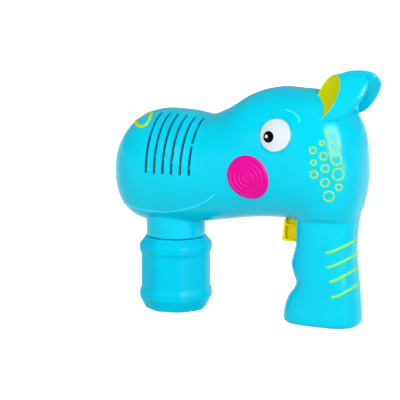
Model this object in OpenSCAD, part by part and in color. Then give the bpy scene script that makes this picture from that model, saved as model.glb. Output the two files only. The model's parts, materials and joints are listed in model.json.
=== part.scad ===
// Battery bubble blower in the shape of a friendly river animal's head.
// Frame: millimetres, +Z up, the floor at z = 0, the snout towards -X, the toy's left side towards -Y.
// Both the bottle and the grip stand on the floor.

/* [Body] */
// x of the front end of the snout, before the outlet is cut
snout_front = -106.5; // [-113:0.5:-102]
// x of the rear end of the head
head_rear = 96.8; // [94:0.1:103]
// length of the rounded front end
front_cap = 39; // [34:0.5:44]
// length of the rounded rear end
rear_cap = 47.3; // [40:0.1:54]
// height of the top of the snout
snout_top = 158; // [154:0.5:164]
// height of the underside of the snout
snout_bottom = 69; // [67:0.5:71]
// height of the dip between snout and head
saddle_top = 155.8; // [150:0.1:158]
// height of the crown
head_top = 179; // [174:0.5:184]
// height of the underside of the head
head_bottom = 79.6; // [79:0.1:81]
// half width of the snout
snout_half = 40; // [38:0.5:44]
// half width at the dip
saddle_half = 38.5; // [36:0.5:42]
// half width of the head
head_half = 40.5; // [38:0.5:44]
// squareness of the body's sections, 2 is an ellipse
body_power = 2.25; // [2:0.05:2.6]
// thickness of the shell's wall
wall = 2.4; // [1.8:0.1:2.8]

/* [Grip] */
// x of the grip's front at the trigger
grip_front = 44.6; // [43:0.1:46]
// x of the grip's rear at its narrowest
grip_rear = 89.7; // [88:0.1:93]
// x of the bulge between the fingers
finger_front = 40.9; // [39:0.1:43]
// x of the waist below the fingers
waist_front = 45.1; // [43:0.1:47]
// x of the toe of the base
toe_front = 34.5; // [32:0.1:37]
// x of the heel of the base
heel_rear = 94.6; // [93:0.1:98]
// half thickness of the grip
grip_half = 19.5; // [19:0.1:22]
// radius of the edge round the base
base_edge = 4; // [2:0.5:6]

/* [Bottle] */
// x of the bottle's axis
bottle_x = -60; // [-61:0.1:-58]
// height of the bottle's shoulder above the floor
bottle_h = 57.5; // [55:0.1:57.8]
// half width across the flats of the bottle's waist
bottle_flat = 26.4; // [24.5:0.1:28]
// half width across the flats of the base
bottle_foot = 23.5; // [21:0.1:24.5]
// how far the two bulges stand out from the waist
bottle_bulge = 1.3; // [0.6:0.1:2]
// thickness of the bottle's wall
bottle_wall = 1.6; // [1.2:0.1:2.2]
// outer radius of the neck
neck_r = 15.5; // [14.5:0.1:16]
// height of the neck
neck_h = 13; // [12:0.1:13.2]
// advance of the thread in one turn
thread_pitch = 4; // [3.6:0.1:4.4]
// depth of the thread
thread_depth = 1.3; // [1:0.1:1.5]

/* [Outlet] */
// height of the outlet's axis, which is also the motor's axis
outlet_z = 108; // [106:0.5:110]
// outer radius of the outlet ring
outlet_r = 22.7; // [21.5:0.1:23.5]
// radius of the film holes
film_hole_r = 4.2; // [3.4:0.1:4.6]
// radius of the fan
fan_r = 19.6; // [17:0.1:19.8]

/* [Drive] */
// module of the gears
gear_module = 0.7; // [0.65:0.01:0.72]
// teeth on each small gear
pinion_teeth = 12; // [11:1:12]
// teeth on each large gear
wheel_teeth = 36; // [33:1:37]
// play between the teeth
backlash = 0.24; // [0.16:0.02:0.3]
// radius of the motor can
motor_r = 10.2; // [9.6:0.1:10.8]
// outer radius of the soft tube
tube_r = 1.5; // [1.2:0.1:1.6]

/* [Trigger] */
// how far the trigger slides
trigger_travel = 5.5; // [4:0.5:6]
// half thickness of the trigger
trigger_half = 7.5; // [6.5:0.1:8]
// height of the trigger's lower edge
trigger_low = 62.2; // [61:0.1:63]

/* [Face] */
// x of the eye
eye_x = 40.5; // [38:0.1:43]
// height of the eye
eye_z = 147.1; // [144:0.1:149]
// radius of the eye
eye_r = 11.9; // [10:0.1:12.4]
// radius of the pupil
pupil_r = 4.2; // [3:0.1:4.6]
// x of the cheek
cheek_x = 18.7; // [16:0.1:21]
// height of the cheek
cheek_z = 114.2; // [112:0.1:117]
// radius of the cheek
cheek_r = 16.9; // [15:0.1:18]
// length of the ear's opening
ear_length = 38; // [34:0.5:41]
// width of the ear's opening
ear_width = 22.5; // [20:0.5:25]
// depth of the ear behind its opening
ear_depth = 25.5; // [22:0.5:28]

/* [Vents] */
// x of the foremost vent slot
slot_x = -66; // [-69:0.5:-64]
// spacing of the vent slots
slot_pitch = 7.15; // [6:0.05:7.4]
// width of a vent slot
slot_w = 2.2; // [1.4:0.1:2.6]
// height of the slots' lower ends
slot_low = 112; // [110:0.5:116]

/* [Battery] */
// radius of a cell
cell_r = 7.1; // [6.9:0.05:7.25]
// length of a cell
cell_len = 50; // [48:0.5:51]
// x of the middle of the pack
pack_x = 68; // [67.6:0.1:68.2]

/* [Fits] */
// gap between fixed pieces
fit = 0.2; // [0.12:0.02:0.3]
// gap round a moving face
slide_gap = 0.3; // [0.26:0.02:0.4]
// running gap of a shaft in a hole
run_gap = 0.06; // [0.04:0.01:0.09]
// gap of a piece pushed on to a shaft
push_gap = 0.02; // [0.01:0.01:0.03]
// gap along the seam of the two shells
seam = 0.16; // [0.1:0.02:0.24]

/* [Hidden] */
$fn = 48;

CYAN = [0.05, 0.78, 0.90];
LIME = [0.72, 0.80, 0.10];
YELLOW = [0.95, 0.82, 0.05];
PINK = [0.92, 0.05, 0.60];
WHITE = [0.95, 0.95, 0.95];
BLACK = [0.05, 0.05, 0.06];
STEEL = [0.70, 0.71, 0.73];
BRASS = [0.80, 0.66, 0.35];
CLEAR = [0.85, 0.90, 0.92];
GREY = [0.35, 0.36, 0.38];
RED = [0.80, 0.10, 0.10];

LEFT = -1;
RIGHT = 1;
FAR = 120;

// Body: top, underside and half width through a few stations
saddle_x = -27;
front_x0 = snout_front + front_cap;
rear_x0 = head_rear - rear_cap;
front_power = 2.3;
rear_power = 2.25;
front_drop = 3.5;
BODY = [
    [snout_front, snout_top - front_drop - 3, snout_bottom - front_drop, snout_half - 0.5],
    [front_x0, snout_top, snout_bottom, snout_half],
    [front_x0 + 20, snout_top - 0.4, snout_bottom + 1, snout_half],
    [saddle_x, saddle_top, snout_bottom + 3.2, saddle_half],
    [saddle_x + 16, saddle_top + 6.2, head_bottom - 4.6, saddle_half],
    [saddle_x + 35.5, head_top - 5.4, head_bottom - 1.6, head_half - 1],
    [saddle_x + 55, head_top, head_bottom, head_half],
    [rear_x0, head_top - 0.3, head_bottom, head_half],
    [rear_x0 + 22, head_top - 0.5, head_bottom, head_half - 0.8],
    [head_rear, head_top - 0.5, head_bottom, head_half - 1.5]];

// Grip: front and rear edge and half thickness by height; above the crease it spreads into the head's rear
grip_top = 146;
crease = head_bottom + 1.4;
GRIP_FRONT = [[0, toe_front], [9, toe_front + 0.6], [17, toe_front + 2.6], [22, toe_front + 5],
    [27, waist_front - 1.9], [32, waist_front], [37, waist_front - 1.7], [46, finger_front],
    [52, finger_front + 1.3], [60, grip_front - 0.3], [66, grip_front], [80, grip_front + 0.2],
    [118, grip_front + 2], [grip_top, grip_front + 12]];
GRIP_REAR = [[0, heel_rear], [10, heel_rear - 0.1], [28, heel_rear - 1.9], [46, heel_rear - 3.9],
    [60, grip_rear], [74, grip_rear + 0.8], [crease + 3, grip_rear + 2.3], [crease + 6, grip_rear + 2.9],
    [crease + 9, grip_rear + 3.7], [crease + 14, grip_rear + 4.8], [102, grip_rear + 6],
    [110, grip_rear + 6.8], [118, grip_rear + 7.1], [128, grip_rear + 6.4], [138, grip_rear + 4],
    [grip_top, grip_rear - 1]];
GRIP_HALF = [[0, grip_half], [50, grip_half + 0.1], [crease - 3, grip_half], [crease, grip_half + 0.3],
    [crease + 2.5, grip_half + 3], [crease + 6, grip_half + 5.4], [crease + 11, grip_half + 7.4],
    [100, grip_half + 9], [110, grip_half + 10], [120, grip_half + 9.6], [130, grip_half + 7.6],
    [138, grip_half + 4], [grip_top, grip_half - 2]];
grip_power = 2.7;
grip_mid_x = (grip_front + grip_rear) / 2;

// Outlet and duct, measured back from the snout's front
outlet_x = snout_front + 4.8;
outlet_wall = 2.2;
film_x = outlet_x + 3;
film_t = 2.5;
lip_t = 1.6;
rib_t = 1.9;
flange_t = 2;
flange_r = outlet_r + 4.3;
flange_x = outlet_x + 9.4;
outlet_end = flange_x + flange_t + fit + rib_t;
duct_x = outlet_end + fit;
duct_r = outlet_r - 0.1;
duct_wall = 1.5;
duct_flange_r = outlet_r + 2;
duct_end = duct_x + 22;
duct_slot = [8, 8];
nozzle_y = -17;
nozzle_z = outlet_z + 19;

// Fan, motor and gears, measured back from the duct
fan_x = duct_x + 13;
fan_len = 10;
hub_r = 6;
blade_t = 1.4;
motor_x = duct_end + 3.2;
motor_len = 23;
motor_flat = motor_r - 2.5;
cap_len = 3.6;
shaft_r = 1;
plate_t = 2;
plate_x = motor_x + motor_len + cap_len + fit;
pinion_x = plate_x + plate_t + 0.7;
pinion_len = 4.6;
wheel_x = pinion_x + 0.3;
wheel_len = 4;
stage_gap = 1.9;
pump_gear_x = wheel_x + wheel_len + stage_gap;
plate2_x = pump_gear_x + wheel_len + 1.6;
pressure = 25;
stub = 0.8;
root_depth = 1.05;
centre_d = gear_module * (pinion_teeth + wheel_teeth) / 2;
red_y = centre_d * sin(45);
red_z = outlet_z - centre_d * cos(45);
pump_y = red_y - centre_d;
pump_z = red_z;
axle_r = 1.5;
wheel_tip = gear_module * (wheel_teeth / 2 + stub);

// Pump
pump_r = 13.6;
pump_wall = 1.6;
pump_x = plate2_x + plate_t;
pump_len = 11.8;
lid_t = 1.6;
loop_x = pump_x + pump_len / 2;
loop_r = pump_r - tube_r - 0.2;
roller_r = 2.6;
roller_gap = 0.4;
roller_at = loop_r - tube_r - roller_gap - roller_r;
tube_in = 240;
tube_out = 470;
tube_run = outlet_z - 20.3;

// Neck and socket
skirt_r = 23.2;
skirt_wall = 2.2;
skirt_low = bottle_h + 1;
skirt_high = 77;
socket_r = skirt_r - skirt_wall - fit;
thread_gap = 0.35;
socket_start = 150;
socket_bore = neck_r + thread_depth + thread_gap;
socket_low = skirt_low + 1;
seal_t = 0.8;
socket_plate = bottle_h + neck_h + seal_t + 0.2;
socket_high = socket_plate + 2.2;
lock_z = (skirt_low + skirt_high) / 2 - 1;
lock_t = 2;
lock_r = socket_r + 1.1;
neck_wall = 2.4;
bore_r = neck_r - neck_wall;
dip_at = bottle_x + 7;
dip_r = 2.5;
dip_high = socket_high + 6;
drain_at = bottle_x - 9.5;
drain_r = 2;
thread_turns = 1.7;
thread_low = bottle_h + 4.2;

// Drip tray
tray_low = max(skirt_high, socket_high) + 0.2;
tray_x = duct_x + 8.6;
tray_end = bottle_x - 5;
tray_half = 10;
tray_high = outlet_z - duct_r - 0.6;
tray_wall = 1.2;

// Trigger and switch
trigger_high = head_bottom - slide_gap;
trigger_face = grip_front - 9.7;
gate_half = trigger_half + slide_gap;
pack_low = 8;
pack_wall = 1.2;
contact_gap = 2.2;
pack_high = pack_low + 2 * pack_wall + 2 * contact_gap + cell_len;
bar_low = pack_high + 1.2;
bar_high = trigger_high - 1;
bar_z = (bar_low + bar_high) / 2;
stop_x = grip_front + wall + 2.6;
stop_half = trigger_half + 1.8;
bar_end = stop_x + 7;
plunger_r = 1.6;
spring_len = trigger_travel + 3;
switch_x = bar_end + spring_len;
switch_len = 16;
switch_half = 4.5;
wire_run = pack_high + 1.8;
switch_low = max(bar_z - switch_half, wire_run - 0.2);
switch_rib_low = max(bar_z - switch_half + 0.5, wire_run + 1.2);
spring_r = 3.2;
spring_wire = 0.35;
spring_turns = 4.5;

// Cells
cell_at = cell_r + 0.2;
pack_round = cell_r + 0.35;
cell_low = pack_low + pack_wall + contact_gap;
plate_thin = 0.5;
door_t = 1.8;
door_x0 = pack_x - 18.5;
door_x1 = pack_x + 16.2;
door_z0 = pack_low + 3;
door_z1 = pack_high + 7.5;
door_ledge = 1.8;
door_screw_z = pack_high + 3.2;
door_seat_y = grip_half - door_t + 0.5;
door_screw_tip = 8;
block_half = 2.9;
block_y = 7.2;

// Screws
SCREWS = [[front_x0 - 16.5, 136.5], [front_x0 - 17.5, 77.5], [saddle_x + 12, 138], [saddle_x + 28, 87],
    [eye_x - 23, eye_z + 9], [head_rear - 21, 140], [head_rear - 23, 104], [toe_front + 9.5, 9]];
seat_y = 8;
screw_r = 1.3;
screw_head_r = 2.6;
screw_head_h = 1.6;
screw_tip_y = -8;
post_r = 3.4;
well_r = 4.4;

// Face
pocket = 1.2;
eye_peg_r = 3;
cheek_proud = 0.6;
ridge_h = 0.6;
cheek_peg_r = 3;
ear_x = 73.4;
ear_y = 20;
ear_z = head_top - 5;
ear_yaw = 58;
ear_lean = 26;
ear_pinch = 7.3;
ear_lift = 6;
ear_sag = 0.4;
ear_peg_r = 3;
ear_peg_x = ear_x + 8;
ear_peg_y = ear_y - 2;
slot_count = 6;
slot_lean = 2.6;
slot_top_y = 13;
slot_bridge_z = 134;

function spow(a, e) = sign(a) * pow(abs(a), e);

function span(k, x, i = 0) = (i >= len(k) - 2 || x < k[i + 1][0]) ? i : span(k, x, i + 1);

function slope(k, c, i) =
    let (a = max(i - 1, 0), b = min(i + 1, len(k) - 1)) (k[b][c] - k[a][c]) / (k[b][0] - k[a][0]);

// smooth curve through the knots k, column c
function curve(k, c, x) =
    let (i = span(k, x), h = k[i + 1][0] - k[i][0], t = (x - k[i][0]) / h)
    (1 + 2 * t) * pow(1 - t, 2) * k[i][c] + t * pow(1 - t, 2) * h * slope(k, c, i)
    + t * t * (3 - 2 * t) * k[i + 1][c] + t * t * (t - 1) * h * slope(k, c, i + 1);

function catmull(a, b, c, d, t) =
    0.5 * (2 * b + (c - a) * t + (2 * a - 5 * b + 4 * c - d) * t * t + (3 * b - a - 3 * c + d) * t * t * t);

function way(p, steps) = concat([for (i = [0 : len(p) - 2], s = [0 : steps - 1])
    catmull(p[max(i - 1, 0)], p[i], p[i + 1], p[min(i + 2, len(p) - 1)], s / steps)], [p[len(p) - 1]]);

function unit(v) = v / norm(v);

function mean(p) = [for (k = [0 : 2]) [for (i = [0 : len(p) - 1]) 1] * [for (q = p) q[k]] / len(p)];

// closed skin over rings of equal length, with a point at each end
module loft(rings, first, last) {
    m = len(rings[0]);
    n = len(rings);
    polyhedron(
        points = concat([first], [for (r = rings, p = r) p], [last]),
        faces = concat(
            [for (j = [0 : m - 1]) [0, 1 + (j + 1) % m, 1 + j]],
            [for (i = [0 : n - 2], j = [0 : m - 1])
                let (a = 1 + i * m, k = (j + 1) % m) [a + j, a + k, a + m + k]],
            [for (i = [0 : n - 2], j = [0 : m - 1])
                let (a = 1 + i * m, k = (j + 1) % m) [a + j, a + m + k, a + m + j]],
            [for (j = [0 : m - 1]) let (a = 1 + (n - 1) * m) [a + j, a + (j + 1) % m, 1 + n * m]]),
        convexity = 8);
}

// normals carried along a path without twist
function frames(p) = [for (
    i = 0,
    t = unit(p[1] - p[0]),
    n = unit(cross(t, abs(t[2]) < 0.9 ? [0, 0, 1] : [1, 0, 0]));
    i < len(p);
    i = i + 1,
    t = unit(p[min(i + 1, len(p) - 1)] - p[max(i - 1, 0)]),
    n = unit(n - t * (n * t))) [n, cross(t, n)]];

module rope(p, r, sides = 8) {
    f = frames(p);
    rings = [for (i = [0 : len(p) - 1]) [for (j = [0 : sides - 1])
        let (a = -360 * j / sides) p[i] + r * (f[i][0] * cos(a) + f[i][1] * sin(a))]];
    loft(rings, p[0], p[len(p) - 1]);
}

// ridge of a screw thread, right handed, its ends drawn in
module ridge(base_r, crest_r, base_w, crest_w, pitch, turns, z0, steps = 26) {
    n = round(turns * steps);
    sink = base_r < crest_r ? -0.3 : 0.3;
    rings = [for (i = [0 : n])
        let (a = 360 * i / steps, z = z0 + pitch * i / steps, k = min(1, min(i, n - i) / 4 + 0.05),
            c = base_r + (crest_r - base_r) * k, b = base_r + sink,
            q = [[b, -base_w / 2], [c, -crest_w / 2], [c, crest_w / 2], [b, base_w / 2]])
        [for (j = [0 : 3]) let (e = base_r < crest_r ? q[j] : q[3 - j])
            [e[0] * cos(a), e[0] * sin(a), z + e[1]]]];
    loft(rings, mean(rings[0]), mean(rings[n]));
}

module rod_x(y, z, r, x0, x1) {
    translate([x0, y, z]) rotate([0, 90, 0]) cylinder(r = r, h = x1 - x0);
}

module rod_y(x, z, r, y0, y1) {
    translate([x, y0, z]) rotate([-90, 0, 0]) cylinder(r = r, h = y1 - y0);
}

module rod_z(x, y, r, z0, z1) {
    translate([x, y, z0]) cylinder(r = r, h = z1 - z0);
}

module box(low, high) {
    translate(low) cube(high - low);
}

// rod along Y and box, measured outwards from the middle on one side of the toy
module rod_out(side, x, z, r, from, to) {
    rod_y(x, z, r, side > 0 ? from : -to, side > 0 ? to : -from);
}

module box_out(side, low, high) {
    y0 = side > 0 ? low[1] : -high[1];
    y1 = side > 0 ? high[1] : -low[1];
    box([low[0], y0, low[2]], [high[0], y1, high[2]]);
}

// drawing in the YZ plane, grown towards +X
module plate_yz(x, h) {
    translate([x, 0, 0]) rotate([90, 0, 90]) linear_extrude(h) children();
}

// drawing in the XZ plane, centred on y = 0
module plate_xz(half) {
    translate([0, half, 0]) rotate([90, 0, 0]) linear_extrude(2 * half) children();
}

module half_space(side) {
    box_out(side, [-150, seam / 2, -10], [150, FAR, 260]);
}

module flip(side) {
    if (side > 0) mirror([0, 1, 0]) children();
    else children();
}

function cap_scale(x, d) =
    let (f = max(0, (front_x0 - x) / (front_cap + d)), r = max(0, (x - rear_x0) / (rear_cap + d)))
    pow(max(0, 1 - pow(f, front_power)), 1 / front_power)
    * pow(max(0, 1 - pow(r, rear_power)), 1 / rear_power);

function body_mid(x) = (curve(BODY, 1, x) + curve(BODY, 2, x)) / 2;

function body_rise(x, d) = ((curve(BODY, 1, x) - curve(BODY, 2, x)) / 2 + d) * cap_scale(x, d);

function body_half(x, d) = (curve(BODY, 3, x) + d) * cap_scale(x, d);

// half width of the body at a point of its side
function side_y(x, z, d = 0) =
    let (k = abs(z - body_mid(x)) / body_rise(x, d))
    body_half(x, d) * pow(max(0, 1 - pow(k, body_power)), 1 / body_power);

body_sides = 36;
inner_body_sides = 20;

function body_ring(x, d, n) = [for (j = [0 : n - 1]) let (a = 360 * (j + 0.5) / n) [
    x,
    body_half(x, d) * spow(sin(a), 2 / body_power),
    body_mid(x) + body_rise(x, d) * spow(cos(a), 2 / body_power)]];

// body grown by d
module body(d = 0, sides = body_sides) {
    xs = concat(
        [for (a = [10, 22, 35, 49, 63, 77]) front_x0 - (front_cap + d) * pow(cos(a), 2 / front_power)],
        [for (i = [0 : 15]) front_x0 + (rear_x0 - front_x0) * i / 15],
        [for (a = [79, 67, 54, 41, 29, 18, 9]) rear_x0 + (rear_cap + d) * pow(cos(a), 2 / rear_power)]);
    loft([for (x = xs) body_ring(x, d, sides)],
        [snout_front - d, 0, body_mid(snout_front)], [head_rear + d, 0, body_mid(head_rear)]);
}

grip_sides = 24;
inner_grip_sides = 16;

function grip_ring(z, f, r, h, n) = [for (j = [0 : n - 1]) let (a = -360 * (j + 0.5) / n)
    [(f + r) / 2 + (r - f) / 2 * spow(cos(a), 2 / grip_power), h * spow(sin(a), 2 / grip_power), z]];

// grip grown by d, with a rounded edge round its base
module grip(d = 0, sides = grip_sides) {
    e = max(0.5, base_edge + d);
    edge = [for (a = [0, 30, 60]) [e * (1 - sin(a)), -d + e * (1 - cos(a))]];
    zs = [8, 13, 18, 23, 28, 32, 36, 41, 46, 51, 57, 66, crease - 3, crease, crease + 2.5, crease + 6,
        crease + 11, 100, 110, 120, 130, 138, grip_top + d];
    rings = concat(
        [for (q = edge) let (z = max(q[1], 0)) grip_ring(q[1], curve(GRIP_FRONT, 1, z) - d + q[0],
            curve(GRIP_REAR, 1, z) + d - q[0], grip_half + d - q[0], sides)],
        [for (z = concat([e - d], zs)) grip_ring(z, curve(GRIP_FRONT, 1, z) - d, curve(GRIP_REAR, 1, z) + d,
            curve(GRIP_HALF, 1, z) + d, sides)]);
    loft(rings, mean(rings[0]), mean(rings[len(rings) - 1]));
}

module outside() {
    body(0);
    grip(0);
}

// the hollow inside the wall needs fewer facets than the outside
module inside(d) {
    body(-d, inner_body_sides);
    grip(-d, inner_grip_sides);
}

module skin() {
    difference() {
        union() {
            outside();
            rod_z(bottle_x, 0, skirt_r, skirt_low, skirt_high, $fn = 40);
        }
        inside(wall);
        rod_z(bottle_x, 0, skirt_r - skirt_wall, skirt_low - 5, skirt_high, $fn = 40);
    }
}

// fixings on the inside of each half
module fixings(side) {
    for (s = SCREWS) hull() {
        $fn = 12;
        r = side > 0 ? well_r : post_r;
        rod_out(side, s[0], s[1], r, 0, 6);
        rod_out(side, s[0], s[1], r + 0.5, 44, 45);
    }
    difference() {
        for (x = [flange_x - fit - rib_t, flange_x + flange_t + fit, duct_x + flange_t + fit])
            rod_x(0, outlet_z, flange_r + 30, x, x + rib_t);
        rod_x(0, outlet_z, outlet_r + fit, outlet_x, duct_x + 20, $fn = 40);
        box([outlet_x, nozzle_y - tube_r - 1, nozzle_z - tube_r - 1],
            [duct_x + 20, nozzle_y + tube_r + 1, nozzle_z + 40]);
        box([outlet_x, -tray_half - 1, 0], [duct_x + 20, tray_half + 1, outlet_z - outlet_r]);
    }
    for (x = [wing_x - fit - rib_t, wing_x + wing_t + fit])
        box_out(side, [x, wing_reach - 5, wing_low - 2], [x + rib_t, FAR, wing_high - 1]);
    box_out(side, [wing_x - fit - rib_t, wing_reach - 5, wing_low - 2 - rib_t],
        [wing_x + wing_t + fit + rib_t, FAR, wing_low - fit]);
    for (x = [switch_x - fit - rib_t, switch_x + switch_len + fit])
        box_out(side, [x, 4, switch_rib_low], [x + rib_t, FAR, bar_z + switch_half - 0.5]);
}

module slots(side) {
    for (i = [0 : slot_count - 1]) difference() {
        hull() {
            $fn = 8;
            rod_out(side, slot_x + i * slot_pitch, slot_low + slot_w / 2, slot_w / 2, slot_top_y, FAR);
            rod_out(side, slot_x + i * slot_pitch + slot_lean, head_top, slot_w / 2, slot_top_y, FAR);
        }
        if (i == slot_count - 1)
            box([slot_x, -FAR, slot_bridge_z], [slot_x + FAR, FAR, slot_bridge_z + 2]);
    }
}

// seat of a face piece, down to the depth of the pocket
module seat(side, x, z, r, peg_r) {
    difference() {
        rod_out(side, x, z, r, 10, 60);
        body(-pocket - fit / 2);
    }
    rod_out(side, x, z, peg_r + fit / 2, 10, 60);
}

module shell(side) {
    $fn = 16;
    difference() {
        intersection() {
            union() {
                skin();
                intersection() {
                    inside(wall / 4);
                    fixings(side);
                }
            }
            half_space(side);
        }
        for (s = SCREWS) {
            if (side > 0) {
                rod_y(s[0], s[1], screw_r + fit, -1, seat_y);
                rod_y(s[0], s[1], screw_head_r + fit, seat_y, 60);
            }
            else rod_y(s[0], s[1], screw_r + run_gap, screw_tip_y - 1, 1);
        }
        slots(side);
        seat(side, eye_x, eye_z, eye_r + fit / 2, eye_peg_r, $fn = 36);
        seat(side, cheek_x, cheek_z, cheek_r + fit / 2, cheek_peg_r, $fn = 36);
        rod_z(ear_peg_x, side * ear_peg_y, ear_peg_r + fit / 2, ear_z - 30, ear_z + 10);
        rod_x(0, outlet_z, outlet_r + fit, snout_front - 5, outlet_x + 8, $fn = 40);
        rod_z(bottle_x, 0, lock_r + fit, lock_z - fit, lock_z + lock_t + fit, $fn = 40);
        box([grip_front - 12, -gate_half, trigger_low - slide_gap], [stop_x, gate_half, head_bottom]);
        if (side > 0) door_cut();
    }
}

module left_shell() {
    color(CYAN) shell(LEFT);
}

module right_shell() {
    color(CYAN) shell(RIGHT);
}

// Ears: a leaf-shaped opening, closed behind by a rounded back
ear_steps = 28;
ear_across = [sin(ear_yaw), -cos(ear_yaw), 0];
ear_up = [cos(ear_yaw) * sin(ear_lean), sin(ear_yaw) * sin(ear_lean), cos(ear_lean)];
ear_centre = [ear_x, -ear_y, ear_z];
ear_back = [ear_depth, ear_pinch, ear_lift];

// outline of the left ear at a share of its depth, drawn in by k
function ear_ring(depth, k) = [for (j = [0 : ear_steps - 1])
    let (a = -360 * j / ear_steps, up = cos(a), out = sin(a))
    ear_centre + ear_back * depth
    + ear_up * (ear_length / 2 * k * spow(up, 0.95) * (up < 0 ? 1 + ear_sag * depth : 1))
    + ear_across * (ear_width / 2 * k * out * (1 - 0.24 * up * up + 0.22 * up))];

module ear_form() {
    rings = [for (a = [0, 10, 22, 35, 48, 60, 72, 82]) ear_ring(sin(a), pow(cos(a), 0.68))];
    loft(rings, mean(rings[0]), ear_centre + ear_back);
}

// slice of the ear between two depths in millimetres
module ear_slice(from, to, k) {
    rings = [for (x = [from, to]) ear_ring(x / ear_depth, k)];
    loft(rings, mean(rings[0]), mean(rings[1]));
}

module ear(side) {
    color(CYAN) {
        difference() {
            flip(side) ear_form();
            flip(side) ear_slice(-1, 2.6, 0.945);
            body(fit / 2);
        }
        rod_z(ear_peg_x, side * ear_peg_y, ear_peg_r, ear_z - 24, ear_z + 2);
    }
}

module ear_left() {
    ear(LEFT);
}

module ear_right() {
    ear(RIGHT);
}

module ear_lining(side) {
    color(LIME) difference() {
        flip(side) ear_slice(0.9, 2.5, 0.933);
        body(fit);
    }
}

module ear_lining_left() {
    ear_lining(LEFT);
}

module ear_lining_right() {
    ear_lining(RIGHT);
}

// Eyes
eye_dome = 30;
eye_proud = 3;
eye_skin = side_y(eye_x, eye_z);
eye_tilt = atan((side_y(eye_x, eye_z - 1) - side_y(eye_x, eye_z + 1)) / 2);
eye_centre_y = eye_skin - (eye_dome - eye_proud) * cos(eye_tilt);
eye_centre_z = eye_z - (eye_dome - eye_proud) * sin(eye_tilt);
eye_top = eye_skin + eye_proud;
pupil_dx = -4.3;
pupil_dz = -1.1;
pupil_depth = 2;

module eye(side) {
    $fn = 96;
    color(WHITE) difference() {
        union() {
            intersection() {
                rod_out(side, eye_x, eye_z, eye_r, 20, 60);
                translate([eye_x, side * eye_centre_y, eye_centre_z]) sphere(r = eye_dome);
                eye_back(side);
            }
            rod_out(side, eye_x, eye_z, eye_peg_r, eye_top - 9, eye_top - 3);
        }
        rod_out(side, eye_x + pupil_dx, eye_z + pupil_dz, pupil_r + fit / 2, eye_top - pupil_depth, 60);
    }
}

module eye_back(side) {
    difference() {
        rod_out(side, eye_x, eye_z, eye_r + 1, 20, 60);
        body(-pocket);
    }
}

module eye_left() {
    eye(LEFT);
}

module eye_right() {
    eye(RIGHT);
}

module pupil(side) {
    $fn = 120;
    color(BLACK) intersection() {
        rod_out(side, eye_x + pupil_dx, eye_z + pupil_dz, pupil_r, eye_top - pupil_depth + fit / 2, 60);
        translate([eye_x, side * eye_centre_y, eye_centre_z]) sphere(r = eye_dome + 0.3);
    }
}

module pupil_left() {
    pupil(LEFT);
}

module pupil_right() {
    pupil(RIGHT);
}

// Cheeks, with round ridges
cheek_ridges = 4;
cheek_steps = 36;
ridge_w = 2.2;
ridge_pitch = 0.21 * cheek_r;
ridge_slant = 0.5;

// ring of a cheek at radius r, lying at d over the body's side
function cheek_ring(side, r, d) = [for (j = [0 : cheek_steps - 1])
    let (a = side * 360 * j / cheek_steps, x = cheek_x + r * cos(a), z = cheek_z + r * sin(a))
    [x, side * side_y(x, z, d), z]];

module cheek(side) {
    peg_y = side * (side_y(cheek_x, cheek_z) - 6);
    peg = [for (p = cheek_ring(side, cheek_peg_r, 0)) [p[0], peg_y, p[2]]];
    back = [for (i = [0 : 5])
        cheek_ring(side, cheek_peg_r + (cheek_r - cheek_peg_r) * i / 5, -pocket)];
    front = [for (i = [cheek_ridges : -1 : 1],
        q = [[0, 0], [ridge_slant, ridge_h], [ridge_w - ridge_slant, ridge_h], [ridge_w, 0]])
        cheek_ring(side, cheek_r - (cheek_ridges - i) * ridge_pitch - q[0], cheek_proud + q[1])];
    color(PINK) loft(concat([peg], back, front), [cheek_x, peg_y, cheek_z],
        [cheek_x, side * side_y(cheek_x, cheek_z, cheek_proud), cheek_z]);
}

module cheek_left() {
    cheek(LEFT);
}

module cheek_right() {
    cheek(RIGHT);
}

// Outlet
module outlet_ring() {
    color(LIME) difference() {
        union() {
            rod_x(0, outlet_z, outlet_r, outlet_x, outlet_end);
            rod_x(0, outlet_z, flange_r, flange_x, flange_x + flange_t);
        }
        rod_x(0, outlet_z, outlet_r - outlet_wall, outlet_x - 1, film_x + film_t);
        rod_x(0, outlet_z, outlet_r - 2 * outlet_wall, outlet_x - 1, film_x + film_t + lip_t + 1);
        rod_x(0, outlet_z, outlet_r - outlet_wall, film_x + film_t + lip_t, outlet_end + 1);
        rod_x(nozzle_y, nozzle_z, tube_r + fit, flange_x - 1, flange_x + flange_t + 1);
    }
}

module bubble_ring() {
    color(YELLOW) difference() {
        rod_x(0, outlet_z, outlet_r - outlet_wall - fit, film_x, film_x + film_t);
        rod_x(0, outlet_z, film_hole_r, film_x - 1, film_x + film_t + 1);
        for (a = [0 : 60 : 300])
            rod_x(12.8 * sin(a), outlet_z + 12.8 * cos(a), film_hole_r, film_x - 1, film_x + film_t + 1);
    }
}

module drip_tray() {
    color(CLEAR) difference() {
        union() {
            box([tray_x, -tray_half, tray_low], [tray_end, tray_half, tray_high]);
            rod_z(drain_at, 0, drain_r, socket_plate + 0.4, tray_low + 1);
        }
        box([tray_x + tray_wall, -tray_half + tray_wall, tray_low + tray_wall],
            [tray_end - tray_wall, tray_half - tray_wall, tray_high + 1]);
        rod_z(drain_at, 0, drain_r - 0.9, socket_plate - 5, tray_high);
    }
}

module fan_duct() {
    color(LIME) difference() {
        union() {
            rod_x(0, outlet_z, duct_r, duct_x, duct_end);
            rod_x(0, outlet_z, duct_flange_r, duct_x, duct_x + flange_t);
        }
        rod_x(0, outlet_z, duct_r - duct_wall, duct_x - 1, duct_end + 1);
        box([tray_x + 3, -duct_slot[1] / 2, outlet_z - duct_r - 2],
            [tray_x + 3 + duct_slot[0], duct_slot[1] / 2, outlet_z - 10]);
        rod_x(nozzle_y, nozzle_z, tube_r + fit, duct_x - 1, duct_x + flange_t + 1);
    }
}

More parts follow.
